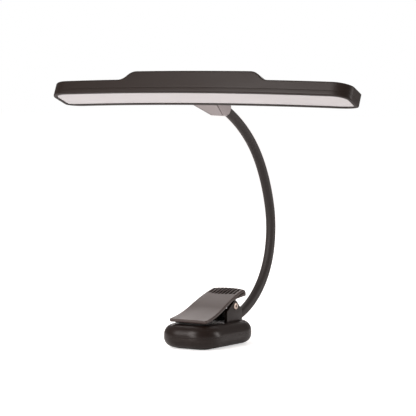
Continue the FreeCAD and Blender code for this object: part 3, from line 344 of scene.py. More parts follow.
def opal_acrylic(tone):
    """Extruded opal acrylic: light enters the milky sheet and comes back softened, so it looks even
    and faintly deep. A satin face, with the sheet's slight waviness as a very broad bump."""
    material, tree, shader, place = start_material(
        "opal_acrylic_extruded", IOR=1.49, Subsurface_Weight=0.35, Subsurface_Scale=0.004,
        Subsurface_Radius=(1.0, 0.9, 0.85))
    cloud = add(tree, "TexNoise", {"Vector": place, "Scale": per_mm(40), "Detail": 2.0})
    haze = add(tree, "TexNoise", {"Vector": place, "Scale": per_mm(1.2), "Detail": 3.0})
    dull = [c * 0.965 for c in tone]
    milk = add(tree, "Mix", {0: cloud.outputs[0], 6: (*dull, 1), 7: (*tone, 1)}, data_type="RGBA")
    gloss = add(tree, "MapRange", {0: haze.outputs[0], 1: 0.3, 2: 0.7, 3: 0.36, 4: 0.46})
    relief = add(tree, "Bump", {"Height": cloud.outputs[0], "Strength": 0.2, "Distance": 0.2 * MM})
    join(tree, shader, milk.outputs[2], relief.outputs[0], gloss.outputs[0])
    return material


def silicone(tone):
    """Extruded silicone sleeve: matt with a soft bloom at grazing angles, faint draw lines along the
    tube and the dust that silicone always holds."""
    material, tree, shader, place = start_material(
        "silicone_extruded_black", IOR=1.41, Sheen_Weight=0.17, Sheen_Roughness=0.45,
        Sheen_Tint=(0.82, 0.76, 0.74, 1))
    # The noise varies only across the neck's plane, so its lines run unbroken along every bend
    across = add(tree, "Mapping", {"Vector": place, "Scale": (1.0, 0.03, 0.03)}).outputs[0]
    lines = add(tree, "TexNoise", {"Vector": across, "Scale": per_mm(0.7), "Detail": 4.0})
    dust = add(tree, "TexVoronoi", {"Vector": place, "Scale": per_mm(2.6), "Randomness": 1.0})
    speck = add(tree, "MapRange", {0: dust.outputs[0], 1: 0.03, 2: 0.11, 3: 1.0, 4: 0.0})
    pale = [min(1, c * 2.4) for c in tone]
    skin = add(tree, "Mix", {0: speck.outputs[0], 6: (*tone, 1), 7: (*pale, 1)}, data_type="RGBA")
    gloss = add(tree, "MapRange", {0: lines.outputs[0], 1: 0.3, 2: 0.7, 3: 0.5, 4: 0.62})
    relief = add(tree, "Bump", {"Height": lines.outputs[0], "Strength": 0.35, "Distance": 0.05 * MM})
    join(tree, shader, skin.outputs[2], relief.outputs[0], gloss.outputs[0])
    return material


def lever_plastic(tone):
    """Satin moulded lever: finely etched, a touch glossier where fingers press it, and coarse and
    matt in the floor of the grip slots, where the mould was spark-eroded. There the colour is also
    painted near black, as painted shade of the deep slots."""
    material = moulded("abs_moulded_satin_lever", tone, 0.36, 0.55, 0.035, haze=0.04, IOR=1.5)
    tree = material.node_tree
    shader = tree.nodes["Principled BSDF"]
    slot_shade_and_matt = add(tree, "Attribute", attribute_name="slot").outputs["Fac"]
    skin = shader.inputs["Base Color"].links[0].from_socket
    gloss = shader.inputs["Roughness"].links[0].from_socket
    # Painted shade: the slot floors are coloured near black, standing in for the shade of the recesses
    floor = add(tree, "Mix", {0: slot_shade_and_matt, 6: skin, 7: (*linear("050404"), 1)}, data_type="RGBA")
    matt = add(tree, "Mix", {0: slot_shade_and_matt, 2: gloss, 3: 0.95}, data_type="FLOAT")
    tree.links.new(floor.outputs[2], shader.inputs["Base Color"])
    tree.links.new(matt.outputs[0], shader.inputs["Roughness"])
    return material


# Light head

HEAD_PLACE = np.array([0, -18.5, 223.0])
TILT = math.radians(23)
BOW = 1870.0
HALF_DEPTH = 16.0
# Corners of the head's plan, front then rear: how far each reaches along the head and into its depth
CORNERS = ((18.0, 12.0), (20.0, 6.0))
HALF_LENGTH = 158.0
# The head sits a little to the left of the neck
HEAD_SHIFT = -1.0
WING, CREST = 12.6, 20.6
FOOT_X, CREST_X = 80.0, 60.5
SPLIT = 4.2
COVER_WALL = 1.8
# Half the gap at a line between two shells
SEAM_GAP = 0.02
# Places along half the head, close together where the raised middle slopes down
DENSE_FROM, DENSE_TO = 58.0, 87.0
STATIONS = np.concatenate([np.linspace(0, DENSE_FROM, 10)[:-1],
                           np.linspace(DENSE_FROM, DENSE_TO, 40)[:-1],
                           np.linspace(DENSE_TO, HALF_LENGTH - CORNERS[1][0], 9)])
# Rim's section: width of its lip, width of its wall and height of the lip
RIM_LIP, RIM_WALL, RIM_LEDGE = 3.8, 2.8, 1.6
# Diffuser: insets of its face and its flange, soft edge, and heights of face, step and back
LENS_INSET, LENS_FLANGE, LENS_EDGE = 3.95, 2.95, 0.35
LENS_FACE, LENS_STEP, LENS_BACK = 0.6, 1.62, 2.82
TRAY_INSET, TRAY_FOOT, TRAY_FLOOR, TRAY_WALL = 2.0, 4.3, 8.0, 0.9
BUTTON_X, BUTTON_HOLE = 8, 4.8


def to_head(points):
    """From the head's own frame to the part's: tilted about X, nose down, and moved to its place."""
    x, y, z = points[..., 0], points[..., 1], points[..., 2]
    c, s = math.cos(TILT), math.sin(TILT)
    return np.stack([x, y * c + z * s, z * c - y * s], -1) + HEAD_PLACE


HEAD_UP = to_head(np.array([0, 0, 1.0])) - HEAD_PLACE


def polar(radius, angle):
    """A place at this distance from the far centre of the head's bow, and this angle off its middle."""
    return np.stack([radius * np.sin(angle), BOW - radius * np.cos(angle)], -1)


def head_loops(insets):
    """The head's outline drawn in by each inset, (inset, point, 2), and the middle line's point
    beside each. Front and rear are arcs about one far centre. At each end two quarter ellipses
    join them to a straight line."""
    inset = np.asarray(insets, float)[:, None]
    turn = np.linspace(0, math.pi / 2, 19)
    sine, cosine = np.sin(turn)[None, :, None], np.cos(turn)[None, :, None]
    arcs, ellipses = [], []
    fixed = STATIONS <= DENSE_TO
    for (long, deep), side in zip(CORNERS, (1, -1)):
        last = (HALF_LENGTH - long) / BOW
        angle = STATIONS * (HALF_LENGTH - long) / STATIONS[-1] / BOW
        angle[fixed] = STATIONS[fixed] / BOW
        along = np.array([math.cos(last), math.sin(last)])
        out = np.array([math.sin(last), -math.cos(last)]) * side
        centre = polar(BOW + side * (HALF_DEPTH - deep), last)
        reach, drop = (long - inset)[..., None], (deep - inset)[..., None]
        arcs.append(polar(BOW + side * (HALF_DEPTH - inset), angle))
        ellipses.append(centre + along * reach * sine + out * drop * cosine)
    line = np.linspace(0, 1, 6)[1:-1, None]
    end = ellipses[0][:, -1:] + (ellipses[1][:, -1:] - ellipses[0][:, -1:]) * line
    half = np.concatenate([arcs[0], ellipses[0][:, 1:], end, ellipses[1][:, :0:-1], arcs[1][:, ::-1]], 1)
    corner = half.shape[1] - 2 * len(STATIONS)
    # The middle line follows the rear's angles, which are the last ones
    spine = polar(BOW, np.concatenate([angle, np.full(corner, last), angle[::-1]]))
    mirror = np.array([-1, 1])
    return (np.concatenate([half, half[:, -2:0:-1] * mirror], 1),
            np.concatenate([spine, spine[-2:0:-1] * mirror]))


def rise(x):
    """How far the raised middle stands above the wings: two equal arcs make an S from foot to crest."""
    run, high = FOOT_X - CREST_X, CREST - WING
    radius = (run ** 2 + high ** 2) / (4 * high)
    x = np.clip(np.abs(x), CREST_X, FOOT_X)
    lower = radius - np.sqrt(radius ** 2 - (FOOT_X - x) ** 2 * (x > CREST_X + run / 2))
    upper = high - radius + np.sqrt(radius ** 2 - (x - CREST_X) ** 2 * (x <= CREST_X + run / 2))
    return np.where(x > CREST_X + run / 2, lower, upper)


def head_piece(name, rows, **options):
    """A piece of the head from rows of (inset, share, height, lift): the outline at that inset, moved
    by the share towards the middle line, at that height plus the lift times the raised middle."""
    rows = np.asarray(rows, float)
    loops, spine = head_loops(rows[:, 0])
    share_in = rows[:, 1, None, None]
    flat = loops * (1 - share_in) + spine * share_in
    z = rows[:, 2, None] + rows[:, 3, None] * rise(flat[..., 0])
    flat = flat + np.array([HEAD_SHIFT, 0])
    return make_piece(name, to_head(np.concatenate([flat, z[..., None]], -1)), **options)


def quarter(radius, steps=7):
    """Sine and versine of a quarter turn, times the radius."""
    turn = np.linspace(0, math.pi / 2, steps)
    return radius * np.sin(turn), radius * (1 - np.cos(turn))


def cover_piece(settings):
    """The cover: up from the parting groove, round the top edge and in to the middle line."""
    groove, edge = settings.parting / MM, settings.edge / MM
    low = SPLIT + SEAM_GAP
    up, inward = quarter(groove)
    rows = [(groove - i, 0, low + i_up, 0) for i, i_up in zip(up, inward)]
    rows += [(0, 0, low + groove + t * (WING - edge - low - groove), t) for t in np.linspace(0, 1, 9)[1:]]
    up, inward = quarter(edge, 9)
    rows += [(i, 0, WING - edge + u, 1) for u, i in zip(up[1:], inward[1:])]
    rows += [(edge, t, WING, 1) for t in np.linspace(0, 1, 9)[1:]]
    piece = wall(head_piece("head_cover", rows), COVER_WALL)
    through = np.array([(-6, 0), (-6, BUTTON_HOLE), (6, BUTTON_HOLE), (6, 0)], float)
    holes = [turned("cutter", through, to_head(np.array([x, 0, CREST])), HEAD_UP)
             for x in (-BUTTON_X, BUTTON_X)]
    return settle(piece, *holes)


def rim_piece(settings):
    """The rim round the diffuser: a closed section carried round the head's outline."""
    groove, edge = settings.parting / MM, settings.rim_edge / MM
    top = SPLIT - SEAM_GAP
    corners = [(0, top), (0, 0), (RIM_LIP, 0), (RIM_LIP, RIM_LEDGE), (RIM_WALL, RIM_LEDGE), (RIM_WALL, top)]
    section = rounded_loop(corners, [groove, edge, 0.5, 0, 0, 0])
    rows = [(inset, 0, z, 0) for inset, z in section]
    return head_piece("head_rim", rows, wrap_rows=True)


def lens_piece():
    """The diffuser: a flat panel with a soft edge that steps out to a flange behind the rim."""
    face = LENS_INSET + LENS_EDGE
    rows = [(face, t, LENS_FACE, 0) for t in np.linspace(1, 0, 9)]
    up, inward = quarter(LENS_EDGE)
    rows += [(face - u, 0, LENS_FACE + i, 0) for u, i in zip(up[1:], inward[1:])]
    rows += [(LENS_INSET, 0, LENS_STEP, 0), (LENS_FLANGE, 0, LENS_STEP, 0)]
    rows += [(LENS_FLANGE, t, LENS_BACK, 0) for t in np.linspace(0, 1, 5)]
    return head_piece("light_diffuser", rows)


def tray_piece():
    """The white tray: a rim that stands behind the diffuser and a floor that holds the light strip."""
    rows = [(TRAY_INSET, 0, TRAY_FOOT, 0)] + [(TRAY_INSET, t, TRAY_FLOOR, 0) for t in np.linspace(0, 1, 6)]
    return settle(wall(head_piece("light_tray", rows), TRAY_WALL))


# Wedge behind the head: places along it, each with half-width, lowest, highest and corner radius.
# The nose's height is the neck's centre
NOSE = 8.496
NOSE_EDGE = 0.62
BORE, BORE_DEEP, BORE_EDGE = 4.75, 5.0, 0.25
MOUNT = np.array([
    (16.12, 14.2, 0.2, 12.4, 1.2),
    (37.6, 8.0, -0.9, NOSE + 6.0, 1.6),
    (47.9, 6.0, NOSE - 5.9, NOSE + 6.0, 4.4),
])
MOUNT_GROOVE, MOUNT_GROOVE_WIDE, MOUNT_GROOVE_DEEP = 0.2, 1.0, 0.8


def mount_section(y, half, low, high, corner, inset=0.0, groove=1.0):
    """One section of the wedge: a rounded rectangle whose underside has a groove along each edge."""
    half, low, high = half - inset, low + inset, high - inset
    corner = max(corner - inset, 0.1)
    dip = low + MOUNT_GROOVE_DEEP * groove
    edge = half - corner - MOUNT_GROOVE * (half > 7)
    inner = edge - MOUNT_GROOVE_WIDE
    bottom = [(0, low), (inner * 0.5, low), (inner, low), (inner + 0.15, dip), (edge - 0.15, dip),
              (edge, low)]
    right = bottom + [tuple(p) for p in rounded_line(
        [(edge + 0.1, low), (half, low), (half, high), (0, high)], [corner, corner], 8)[1:]]
    right = np.array(right)
    left = right[-2:0:-1] * (-1, 1)
    flat = np.concatenate([right, left])
    return np.stack([flat[:, 0], np.full(len(flat), y), flat[:, 1]], -1)


def mount_piece():
    """The wedge: sections joined straight along its length, a soft edge at its nose and a bore that
    the neck goes into. Its front end closes against the head."""
    front, knee, nose = MOUNT[:, 0]
    places = np.concatenate([np.linspace(front, knee, 13), np.linspace(knee, nose - NOSE_EDGE, 10)[1:]])
    values = [np.interp(places, MOUNT[:, 0], MOUNT[:, k]) for k in range(1, 5)]
    fade = np.clip((nose - 3 - places) / 3.0, 0, 1)
    rings = [mount_section(y, *row, groove=g) for y, g, *row in zip(places, fade, *values)]
    nose_up, nose_in = quarter(NOSE_EDGE, 5)
    rings += [mount_section(nose - NOSE_EDGE + u, *MOUNT[2, 1:], inset=i, groove=0) for u, i in
              zip(nose_up[1:], nose_in[1:])]
    last = rings[-1]
    angle = np.arctan2(last[:, 2] - NOSE, last[:, 0])
    for y, radius in ((nose, BORE + BORE_EDGE), (nose - 0.3, BORE), (nose - BORE_DEEP, BORE),
                      (nose - BORE_DEEP, 0.0)):
        rings.append(np.stack([radius * np.cos(angle), np.full(len(angle), y),
                               NOSE + radius * np.sin(angle)], -1))
    start = rings[0].copy()
    start[:, 0], start[:, 2] = 0, 6.0
    return make_piece("neck_wedge", to_head(np.array([start] + rings)))


def button_piece(name, x, mark):
    """A push button: a short turned cap with a dished top. The mark is a fine ring or a small dot."""
    profile = [(-3.0, 0), (-3.0, 5.4), (-2.3, 5.4), (-2.3, 4.5), (0.55, 4.5)]
    up, inward = quarter(0.45, 6)
    profile += [(0.55 + u, 4.5 - i) for u, i in zip(up[1:], inward[1:])]
    if mark == "ring":
        profile += [(0.92, 3.2), (0.72, 3.0), (0.72, 2.5), (0.88, 2.3), (0.84, 1.2), (0.82, 0)]
    else:
        profile += [(0.92, 3.2), (0.85, 1.6), (0.83, 1.1), (1.0, 0.8), (1.05, 0.4), (1.06, 0)]
    return turned(name, np.array(profile, float), to_head(np.array([x, 0, CREST])), HEAD_UP, 40)


# Neck

NECK_START = (56.4, 24.8, math.radians(20.2))
NECK_RUN = 39.66
NECK_RADII = (82.8, 74.9, 88.0, 144.6, 116.5, 152.6)
NECK_ROOT, NECK_TIP = 22.0, 20.0
# Distance between the sleeve's circles, and half the stretch about each joint
NECK_STEP, NECK_BEND = 0.9, 12.0


def neck_line(run):
    """The neck's centre line at distances along it: a straight root, six arcs that turn left, each
    starting where the last one ends, and a straight tip. Returns places and directions."""
    y, z, heading = NECK_START
    place = np.zeros((len(run), 2))
    facing = np.full(len(run), heading)
    before = run < 0
    place[before] = np.array([y, z]) + run[before, None] * [math.cos(heading), math.sin(heading)]
    for number, radius in enumerate(NECK_RADII):
        inside = run >= number * NECK_RUN
        turn = np.clip(run[inside] - number * NECK_RUN, 0, NECK_RUN) / radius
        facing[inside] = heading + turn
        place[inside] = np.stack([y + radius * (np.sin(heading + turn) - math.sin(heading)),
                                  z - radius * (np.cos(heading + turn) - math.cos(heading))], -1)
        full = NECK_RUN / radius
        y += radius * (math.sin(heading + full) - math.sin(heading))
        z -= radius * (math.cos(heading + full) - math.cos(heading))
        heading += full
    past = np.clip(run - len(NECK_RADII) * NECK_RUN, 0, None)[:, None]
    place += past * [math.cos(heading), math.sin(heading)]
    return place, facing


def neck_piece(number, start, end, radius):
    """One stretch of sleeve: circles square to the centre line, closed at both ends."""
    run = np.linspace(start, end, int((end - start) / NECK_STEP) + 1)
    place, facing = neck_line(run)
    angle = np.linspace(0, 2 * math.pi, 40, endpoint=False)[None]
    wide = np.full(len(run), radius)
    place, facing = [np.concatenate([v[:1], v, v[-1:]]) for v in (place, facing)]
    wide = np.concatenate([[0], wide, [0]])[:, None]
    lift = wide * np.cos(angle)
    grid = np.stack([wide * np.sin(angle), place[:, 0, None] - lift * np.sin(facing)[:, None],
                     place[:, 1, None] + lift * np.cos(facing)[:, None]], -1)
    return make_piece("neck_sleeve_bend_%d" % number, grid)


# Base

HALF_WIDE, HALF_LONG, BASE_CORNER = 28.8, 43.8, 22.0
BASE_TOP, BASE_FOOT, BASE_SEAM, BASE_WALL = 21.5, 1.0, 11.0, 2.0
# Mouths in the left side: corners of the socket's in the YZ plane, and the light's round one
SOCKET_MOUTH = ((11.6, 7.7), (20.8, 7.7), (20.8, 11.3), (11.6, 11.3))
LIGHT_PLACE, LIGHT_MOUTH = (0, 9.6, 9.4), 1.3
MOUTH_FROM, MOUTH_TO = -31, -18
FOOT_HALF_X, FOOT_HALF_Y, FOOT_CORNER, FOOT_EDGE = 17.0, 31.5, 7.0, 0.3
PIN = np.array([0, 18.4, 35.0])
EAR_RADIUS, LUG_RADIUS = 4.9, 5.0


def plan_loops(insets, half_x, half_y, corner):
    """A rectangle with round corners drawn in by each inset, (inset, point, 2), and the nearest
    point of its middle line, which lies along Y."""
    inset = np.asarray(insets, float)[:, None]
    round_corner = np.maximum(corner - inset, 0.05)
    turn = np.linspace(0, math.pi / 2, 15)[None]
    side = np.linspace(0, 1, 12)[None, 1:-1]
    cx, cy = half_x - inset - round_corner, half_y - inset - round_corner
    arc = np.stack([cx + round_corner * np.cos(turn), cy + round_corner * np.sin(turn)], -1)
    right = np.stack([np.broadcast_to(cx + round_corner, (len(inset), side.shape[1])),
                      -cy + 2 * cy * side], -1)
    back = np.stack([cx - 2 * cx * side, np.broadcast_to(cy + round_corner, (len(inset), side.shape[1]))],
                    -1)
    half = np.concatenate([right, arc, back, (arc * (-1, 1))[:, ::-1]], 1)
    loop = np.concatenate([half, -half], 1)
    reach = half_y - half_x
    spine = np.stack([np.zeros(loop.shape[1]), np.clip(loop[0, :, 1], -reach, reach)], -1)
    return loop, spine


def plan_rows(rows, half_x, half_y, corner):
    """Places and heights for rows of (inset, share, height): the plan at that inset, moved by the
    share towards the middle line."""
    rows = np.asarray(rows, float)
    loops, spine = plan_loops(rows[:, 0], half_x, half_y, corner)
    share_in = rows[:, 1, None, None]
    flat = loops * (1 - share_in) + spine * share_in
    return flat, np.broadcast_to(rows[:, 2, None], flat.shape[:2])


def plan_piece(name, rows, half_x, half_y, corner):
    """A piece that stands on the middle of the foot, from rows as in plan_rows."""
    flat, z = plan_rows(rows, half_x, half_y, corner)
    return make_piece(name, np.concatenate([flat, z[..., None]], -1))


def upper_base_piece(settings):
    """Upper half of the base: up from the parting groove, over the round edge and in to the middle."""
    groove, top_round = settings.parting / MM, settings.top_round / MM
    low = BASE_SEAM + SEAM_GAP
    up, inward = quarter(groove, 5)
    rows = [(groove - i, 0, low + v) for i, v in zip(up, inward)]
    up, inward = quarter(top_round, 17)
    rows += [(i, 0, BASE_TOP - top_round + u) for u, i in zip(up, inward)]
    rows += [(top_round, t, BASE_TOP) for t in np.linspace(0, 1, 6)[1:]]
    return settle(wall(plan_piece("base_upper", rows, HALF_WIDE, HALF_LONG, BASE_CORNER), BASE_WALL))


def lower_base_piece(settings):
    """Lower half of the base: down from the parting line, round under it and in to the middle, with
    the mouths for the charging socket and its light."""
    foot_round = settings.foot_round / MM
    up, inward = quarter(foot_round, 17)
    rows = [(0, 0, BASE_SEAM), (0, 0, BASE_FOOT + foot_round + 0.4)]
    rows += [(i, 0, BASE_FOOT + foot_round - u) for u, i in zip(up, inward)]
    rows += [(foot_round, t, BASE_FOOT) for t in np.linspace(0, 1, 6)[1:]]
    piece = wall(plan_piece("base_lower", rows, HALF_WIDE, HALF_LONG, BASE_CORNER), BASE_WALL)
    outer, inner = MOUTH_FROM, MOUTH_TO
    outline = rounded_loop(SOCKET_MOUTH, [1.5] * 4)
    middle = np.broadcast_to(np.mean(SOCKET_MOUTH, 0), outline.shape)
    rings = [np.concatenate([np.full((len(flat), 1), x), flat], 1)
             for x, flat in ((outer, middle), (outer, outline), (inner, outline), (inner, middle))]
    socket = make_piece("cutter", np.array(rings))
    through = np.array([(outer, 0), (outer, LIGHT_MOUTH), (inner, LIGHT_MOUTH), (inner, 0)], float)
    light = turned("cutter_light", through, LIGHT_PLACE, (1, 0, 0), 24)
    return settle(piece, socket, light)


def foot_piece():
    """The rubber foot: a slab with a soft lower edge, up to the base's underside."""
    up, inward = quarter(FOOT_EDGE, 4)
    rows = [(FOOT_EDGE, 1, 0.0), (FOOT_EDGE, 0, 0.0)]
    rows += [(FOOT_EDGE - u, 0, i) for u, i in zip(up[1:], inward[1:])]
    rows += [(0, 0, BASE_FOOT), (0, 1, BASE_FOOT)]
    return plan_piece("rubber_foot", rows, FOOT_HALF_X, FOOT_HALF_Y, FOOT_CORNER)


def plate_piece(name, outline, x_low, x_high, edge, centre):
    """A plate from an outline in the YZ plane: the outline runs round both edges with a soft radius
    and closes at a point in the middle of each face. The inset follows the outline's own normal."""
    ahead = np.roll(outline, -1, 0) - np.roll(outline, 1, 0)
    normal = np.stack([ahead[:, 1], -ahead[:, 0]], -1)
    normal /= np.linalg.norm(normal, axis=1)[:, None]
    area = np.sum(outline[:, 0] * np.roll(outline[:, 1], -1) - np.roll(outline[:, 0], -1) * outline[:, 1])
    normal *= np.sign(area)
    up, inward = quarter(edge, 5)
    rows = [(edge, 1, x_low), (edge, 0, x_low)]
    rows += [(edge - u, 0, x_low + i) for u, i in zip(up[1:], inward[1:])]
    rows += [(i, 0, x_high - edge + u) for u, i in zip(up, inward)]
    rows += [(edge, 1, x_high)]
    rings = []
    for inset, share_in, x in rows:
        flat = (outline - normal * inset) * (1 - share_in) + np.array(centre) * share_in
        rings.append(np.concatenate([np.full((len(flat), 1), x), flat], 1))
    return make_piece(name, np.array(rings))


def plate_pair(name, outline, inner, outer, edge, centre):
    """The same plate on the left and on the right, between two distances from the middle."""
    return [plate_piece("%s_%s" % (name, side), outline, low, high, edge, centre)
            for side, low, high in (("left", -outer, -inner), ("right", inner, outer))]


def ear_outline():
    """An ear's side view: upright front and rear edges that slope in to a round end about the pin."""
    y, z, r = PIN[1], PIN[2], EAR_RADIUS
    turn = np.radians(np.linspace(150, 30, 21))
    crown = np.stack([y + r * np.cos(turn), z + r * np.sin(turn)], -1)
    sides = rounded_line([crown[-1], (29.7, 31.0), (29.7, 19.5), (4.4, 19.5), (4.4, 31.0), crown[0]],
                         [2.2, 0.0, 0.0, 2.2], 7)
    dense = [crown]
    for a, b in zip(sides[:-1], sides[1:]):
        steps = max(1, int(np.linalg.norm(b - a) / 2.5))
        dense.append(a + (b - a) * np.linspace(0, 1, steps, endpoint=False)[:, None])
    line = np.concatenate(dense)
    keep = np.linalg.norm(line - np.roll(line, 1, 0), axis=1) > 0.01
    return line[keep]


def ear_web_piece():
    """The wall that joins the two ears at their rear: a flat outline with soft edges."""
    outline = rounded_loop([(26.9, 20.5), (29.2, 20.5), (29.2, 31.0), (26.9, 31.0)], [0.3, 0.3, 0.5, 0.5], 4)
    return plate_piece("ear_web", outline, -15.0, 15.0, 0.2, (28.05, 25.7))


# Lever

LEVER_START = (-34.0, 26.4, math.radians(7.5))
LEVER_ARCS = ((112.0, 17.0), (190.0, -11.5), (6.0, -107.0))
LEVER_THICK = 3.0
LEVER_REAR = 41.8
LEVER_CORNER, LIP_CORNER = 3.4, 2.6
LIP_HALF, TAIL_HALF = 20.2, 16.4
CROWN, REAR_BOW = 1.5, 1.6
SLOT_PITCH, SLOT_WIDE = 3.7, 1.95
# Both ends of the middle slots on Y, and how far those of the outer slots lie from them
SLOT_FRONT, SLOT_REAR = (20.0, 3.2), (37.4, -2.0)
SLOT_MIDDLES = (np.arange(8) - 3.5) * SLOT_PITCH


def lever_line(run):
    """The lever's top line at distances along it: arcs that follow on from each other, left turns
    positive. Gives places in the YZ plane and directions."""
    y, z, heading = LEVER_START
    place = np.zeros((len(run), 2))
    facing = np.zeros(len(run))
    passed = 0.0
    for radius, degrees in LEVER_ARCS:
        full = math.radians(degrees)
        long, side = radius * abs(full), math.copysign(1, full)
        inside = run >= passed - 1e-9
        turn = side * np.clip(run[inside] - passed, 0, long) / radius
        facing[inside] = heading + turn
        place[inside] = np.stack([y + side * radius * (np.sin(heading + turn) - math.sin(heading)),
                                  z - side * radius * (np.cos(heading + turn) - math.cos(heading))], -1)
        y += side * radius * (math.sin(heading + full) - math.sin(heading))
        z -= side * radius * (math.cos(heading + full) - math.cos(heading))
        heading += full
        passed += long
    return place, facing


def arcs_long(arcs):
    """Length of the lever's top line over these arcs."""
    return sum(radius * math.radians(abs(degrees)) for radius, degrees in arcs)


def lever_half_width(y):
    """Half the lever's width over a place on Y: straight sides with a soft corner at both ends."""
    side = np.interp(y, [LEVER_START[0] - 0.5, LEVER_REAR - LEVER_CORNER], [LIP_HALF, TAIL_HALF])
    corner = np.clip((LEVER_REAR - y) / LEVER_CORNER, 0, 1)
    lip = np.clip((y - LEVER_START[0]) / LIP_CORNER, 0, 1)
    return (side - LEVER_CORNER * (1 - np.sqrt(1 - (1 - corner) ** 2))
            - LIP_CORNER * (1 - np.sqrt(1 - (1 - lip) ** 2)))


def slot_mask(x, y):
    """One inside the grip slots and zero outside, with soft edges: each slot is a stadium along Y,
    shorter the further it lies from the middle."""
    bow = (SLOT_MIDDLES / (4 * SLOT_PITCH)) ** 2
    front, rear = [place + change * bow for place, change in (SLOT_FRONT, SLOT_REAR)]
    reach = (rear - front) / 2
    dx, dy = x[..., None] - SLOT_MIDDLES, y[..., None] - (front + rear) / 2
    outside = np.hypot(np.maximum(np.abs(dy) - (reach - SLOT_WIDE / 2), 0), dx) - SLOT_WIDE / 2
    return np.clip(0.5 - outside / 0.35, 0, 1).max(-1)


def lever_piece(settings):
    """The lever: a flat section with soft edges, carried along an S-shaped line. The top is lowered
    by the slot mask. At both ends the section draws in round its edge and closes."""
    edge, deep = settings.edge / MM, settings.slot_depth / MM
    total = arcs_long(LEVER_ARCS)
    lip_to, slot_from, slot_to = 4, 54.5, 76.0
    run = np.concatenate([edge * (1 - np.cos(np.linspace(0, math.pi / 2, 8)[:-1])),
                          np.linspace(edge, lip_to, 9)[:-1], np.linspace(lip_to, slot_from, 48)[:-1],
                          np.linspace(slot_from, slot_to, 87)[:-1],
                          np.linspace(slot_to, total - edge, 10)[:-1],
                          total - edge * (1 - np.sin(np.linspace(0, math.pi / 2, 8)))])
    end = np.minimum(run, total - run)
    draw = edge - np.sqrt(np.maximum(edge ** 2 - np.maximum(edge - end, 0) ** 2, 0))
    place, facing = lever_line(run)
    half = lever_half_width(place[:, 0]) - draw
    beside = np.array([-1.1, -0.95, -0.8, -0.65, 0, 0.65, 0.8, 0.95, 1.1])
    slot_x = SLOT_MIDDLES[:, None] + beside
    span, slots_end = 16.6, 14.5
    flat = np.concatenate([[-1], np.linspace(-0.93, 0.93, 9), slot_x.ravel() / span, [1]])
    flat = np.unique(np.round(flat, 4))
    up, inward = quarter(edge, 7)
    across = (half - edge)[:, None] * flat[None]
    # Columns over the slots keep their true places, and the rest spread with the width
    true_x = flat[None] * span
    held = np.minimum(np.abs(true_x), (half - edge - 0.2)[:, None]) * np.sign(true_x)
    across = np.where(np.abs(true_x) < slots_end, held, across)
    y = np.broadcast_to(place[:, 0, None], across.shape)
    mask = slot_mask(across, y)
    thick = LEVER_THICK - 2 * draw
    corner = np.minimum(edge, thick / 2)[:, None]
    top_depth = draw[:, None] + mask * deep
    right_x = half[:, None] - corner + corner * (up / edge)[None, 1:]
    right_z = draw[:, None] + corner * (inward / edge)[None, 1:]
    under_x = right_x[:, ::-1]
    under_z = (LEVER_THICK - draw)[:, None] - corner * (inward / edge)[None, 1:][:, ::-1]
    x = np.concatenate([across, right_x, under_x, across[:, ::-1], -right_x, -under_x], 1)
    underside = np.broadcast_to((LEVER_THICK - draw)[:, None], across.shape)
    z = np.concatenate([top_depth, right_z, under_z, underside, under_z[:, ::-1], right_z[:, ::-1]], 1)
    marks = np.concatenate([mask, np.zeros((len(run), x.shape[1] - mask.shape[1]))], 1)
    down = np.stack([np.sin(facing), -np.cos(facing)], -1)
    share = (x / half.max()) ** 2
    tail = np.clip((run - 30) / 35, 0, 1)[:, None] ** 2
    grid = np.stack([x, place[:, 0, None] + down[:, 0, None] * z - REAR_BOW * tail * share,
                     place[:, 1, None] + down[:, 1, None] * z + CROWN * tail * (1 - share)], -1)
    front, rear = [np.tile((grid[k] * [0, 1, 1]).mean(0), (grid.shape[1], 1)) for k in (0, -1)]
    grid = np.concatenate([front[None], grid, rear[None]])
    marks = np.concatenate([np.zeros((1, marks.shape[1])), marks, np.zeros((1, marks.shape[1]))])
    return make_piece("clip_lever_plate", grid, marks={"slot": marks})


def under_lever(y):
    """Height of the lever's underside over places on Y."""
    place, facing = lever_line(np.linspace(0, arcs_long(LEVER_ARCS[:2]), 200))
    return np.interp(y, place[:, 0] + np.sin(facing) * LEVER_THICK,
                     place[:, 1] - np.cos(facing) * LEVER_THICK)


def lug_outline():
    """A lug's side view: a round end under the pin that widens up into the lever."""
    y, z, r = PIN[1], PIN[2], LUG_RADIUS
    front, rear = y - r - 4, y + r + 3
    turn = np.radians(np.linspace(180, 360, 25))
    bowl = np.stack([y + r * np.cos(turn), z + r * np.sin(turn)], -1)
    top = np.linspace(rear, front, 12)
    return np.concatenate([bowl, np.stack([top, under_lever(top) + 1.0], -1)])


def flange_outline():
    """Side view of the flange that thickens the lever's tail: a straight foot that rises to the rear,
    under the curve of the lever."""
    foot = np.linspace(18.0, 36.6, 12)
    top = foot[::-1]
    return np.concatenate([np.stack([foot, 41.0 + (foot - 18.0) * 0.1], -1),
                           np.stack([top, under_lever(top) + 0.8], -1)])


# Pads of the jaw: middle, half their depth, corner radius and distance between ribs
PAD_PLACE, PAD_HALF_Y, PAD_CORNER, RIB_PITCH = (0, -23.5), 6.0, 2.0, 1.5


def ribbed(low, high, pitch, relief):
    """Height rule for a pad: ribs run across it as a soft wave on the row nearest the jaw."""
    def height(z, flat):
        wave = relief * (0.5 + 0.5 * np.cos(2 * math.pi * flat[..., 1] / pitch))
        share_up = (z - low) / (high - low)
        return z - wave * share_up
    return height


def jaw_pad_piece():
    """The base's pad: a thin slab with a soft edge and shallow ribs on top."""
    low, high, edge = 21.51, 22.11, 0.25
    up, inward = quarter(edge, 4)
    rows = [(0.1, 1, low), (0.1, 0, low), (0, 0, low + 0.09)]
    rows += [(i, 0, high - edge + u) for u, i in zip(up, inward)]
    rows += [(edge, t, high) for t in np.linspace(0, 1, 7)[1:]]
    return cross_pad("jaw_pad", rows, 13.0, ribbed(low, high, RIB_PITCH, 0.16))


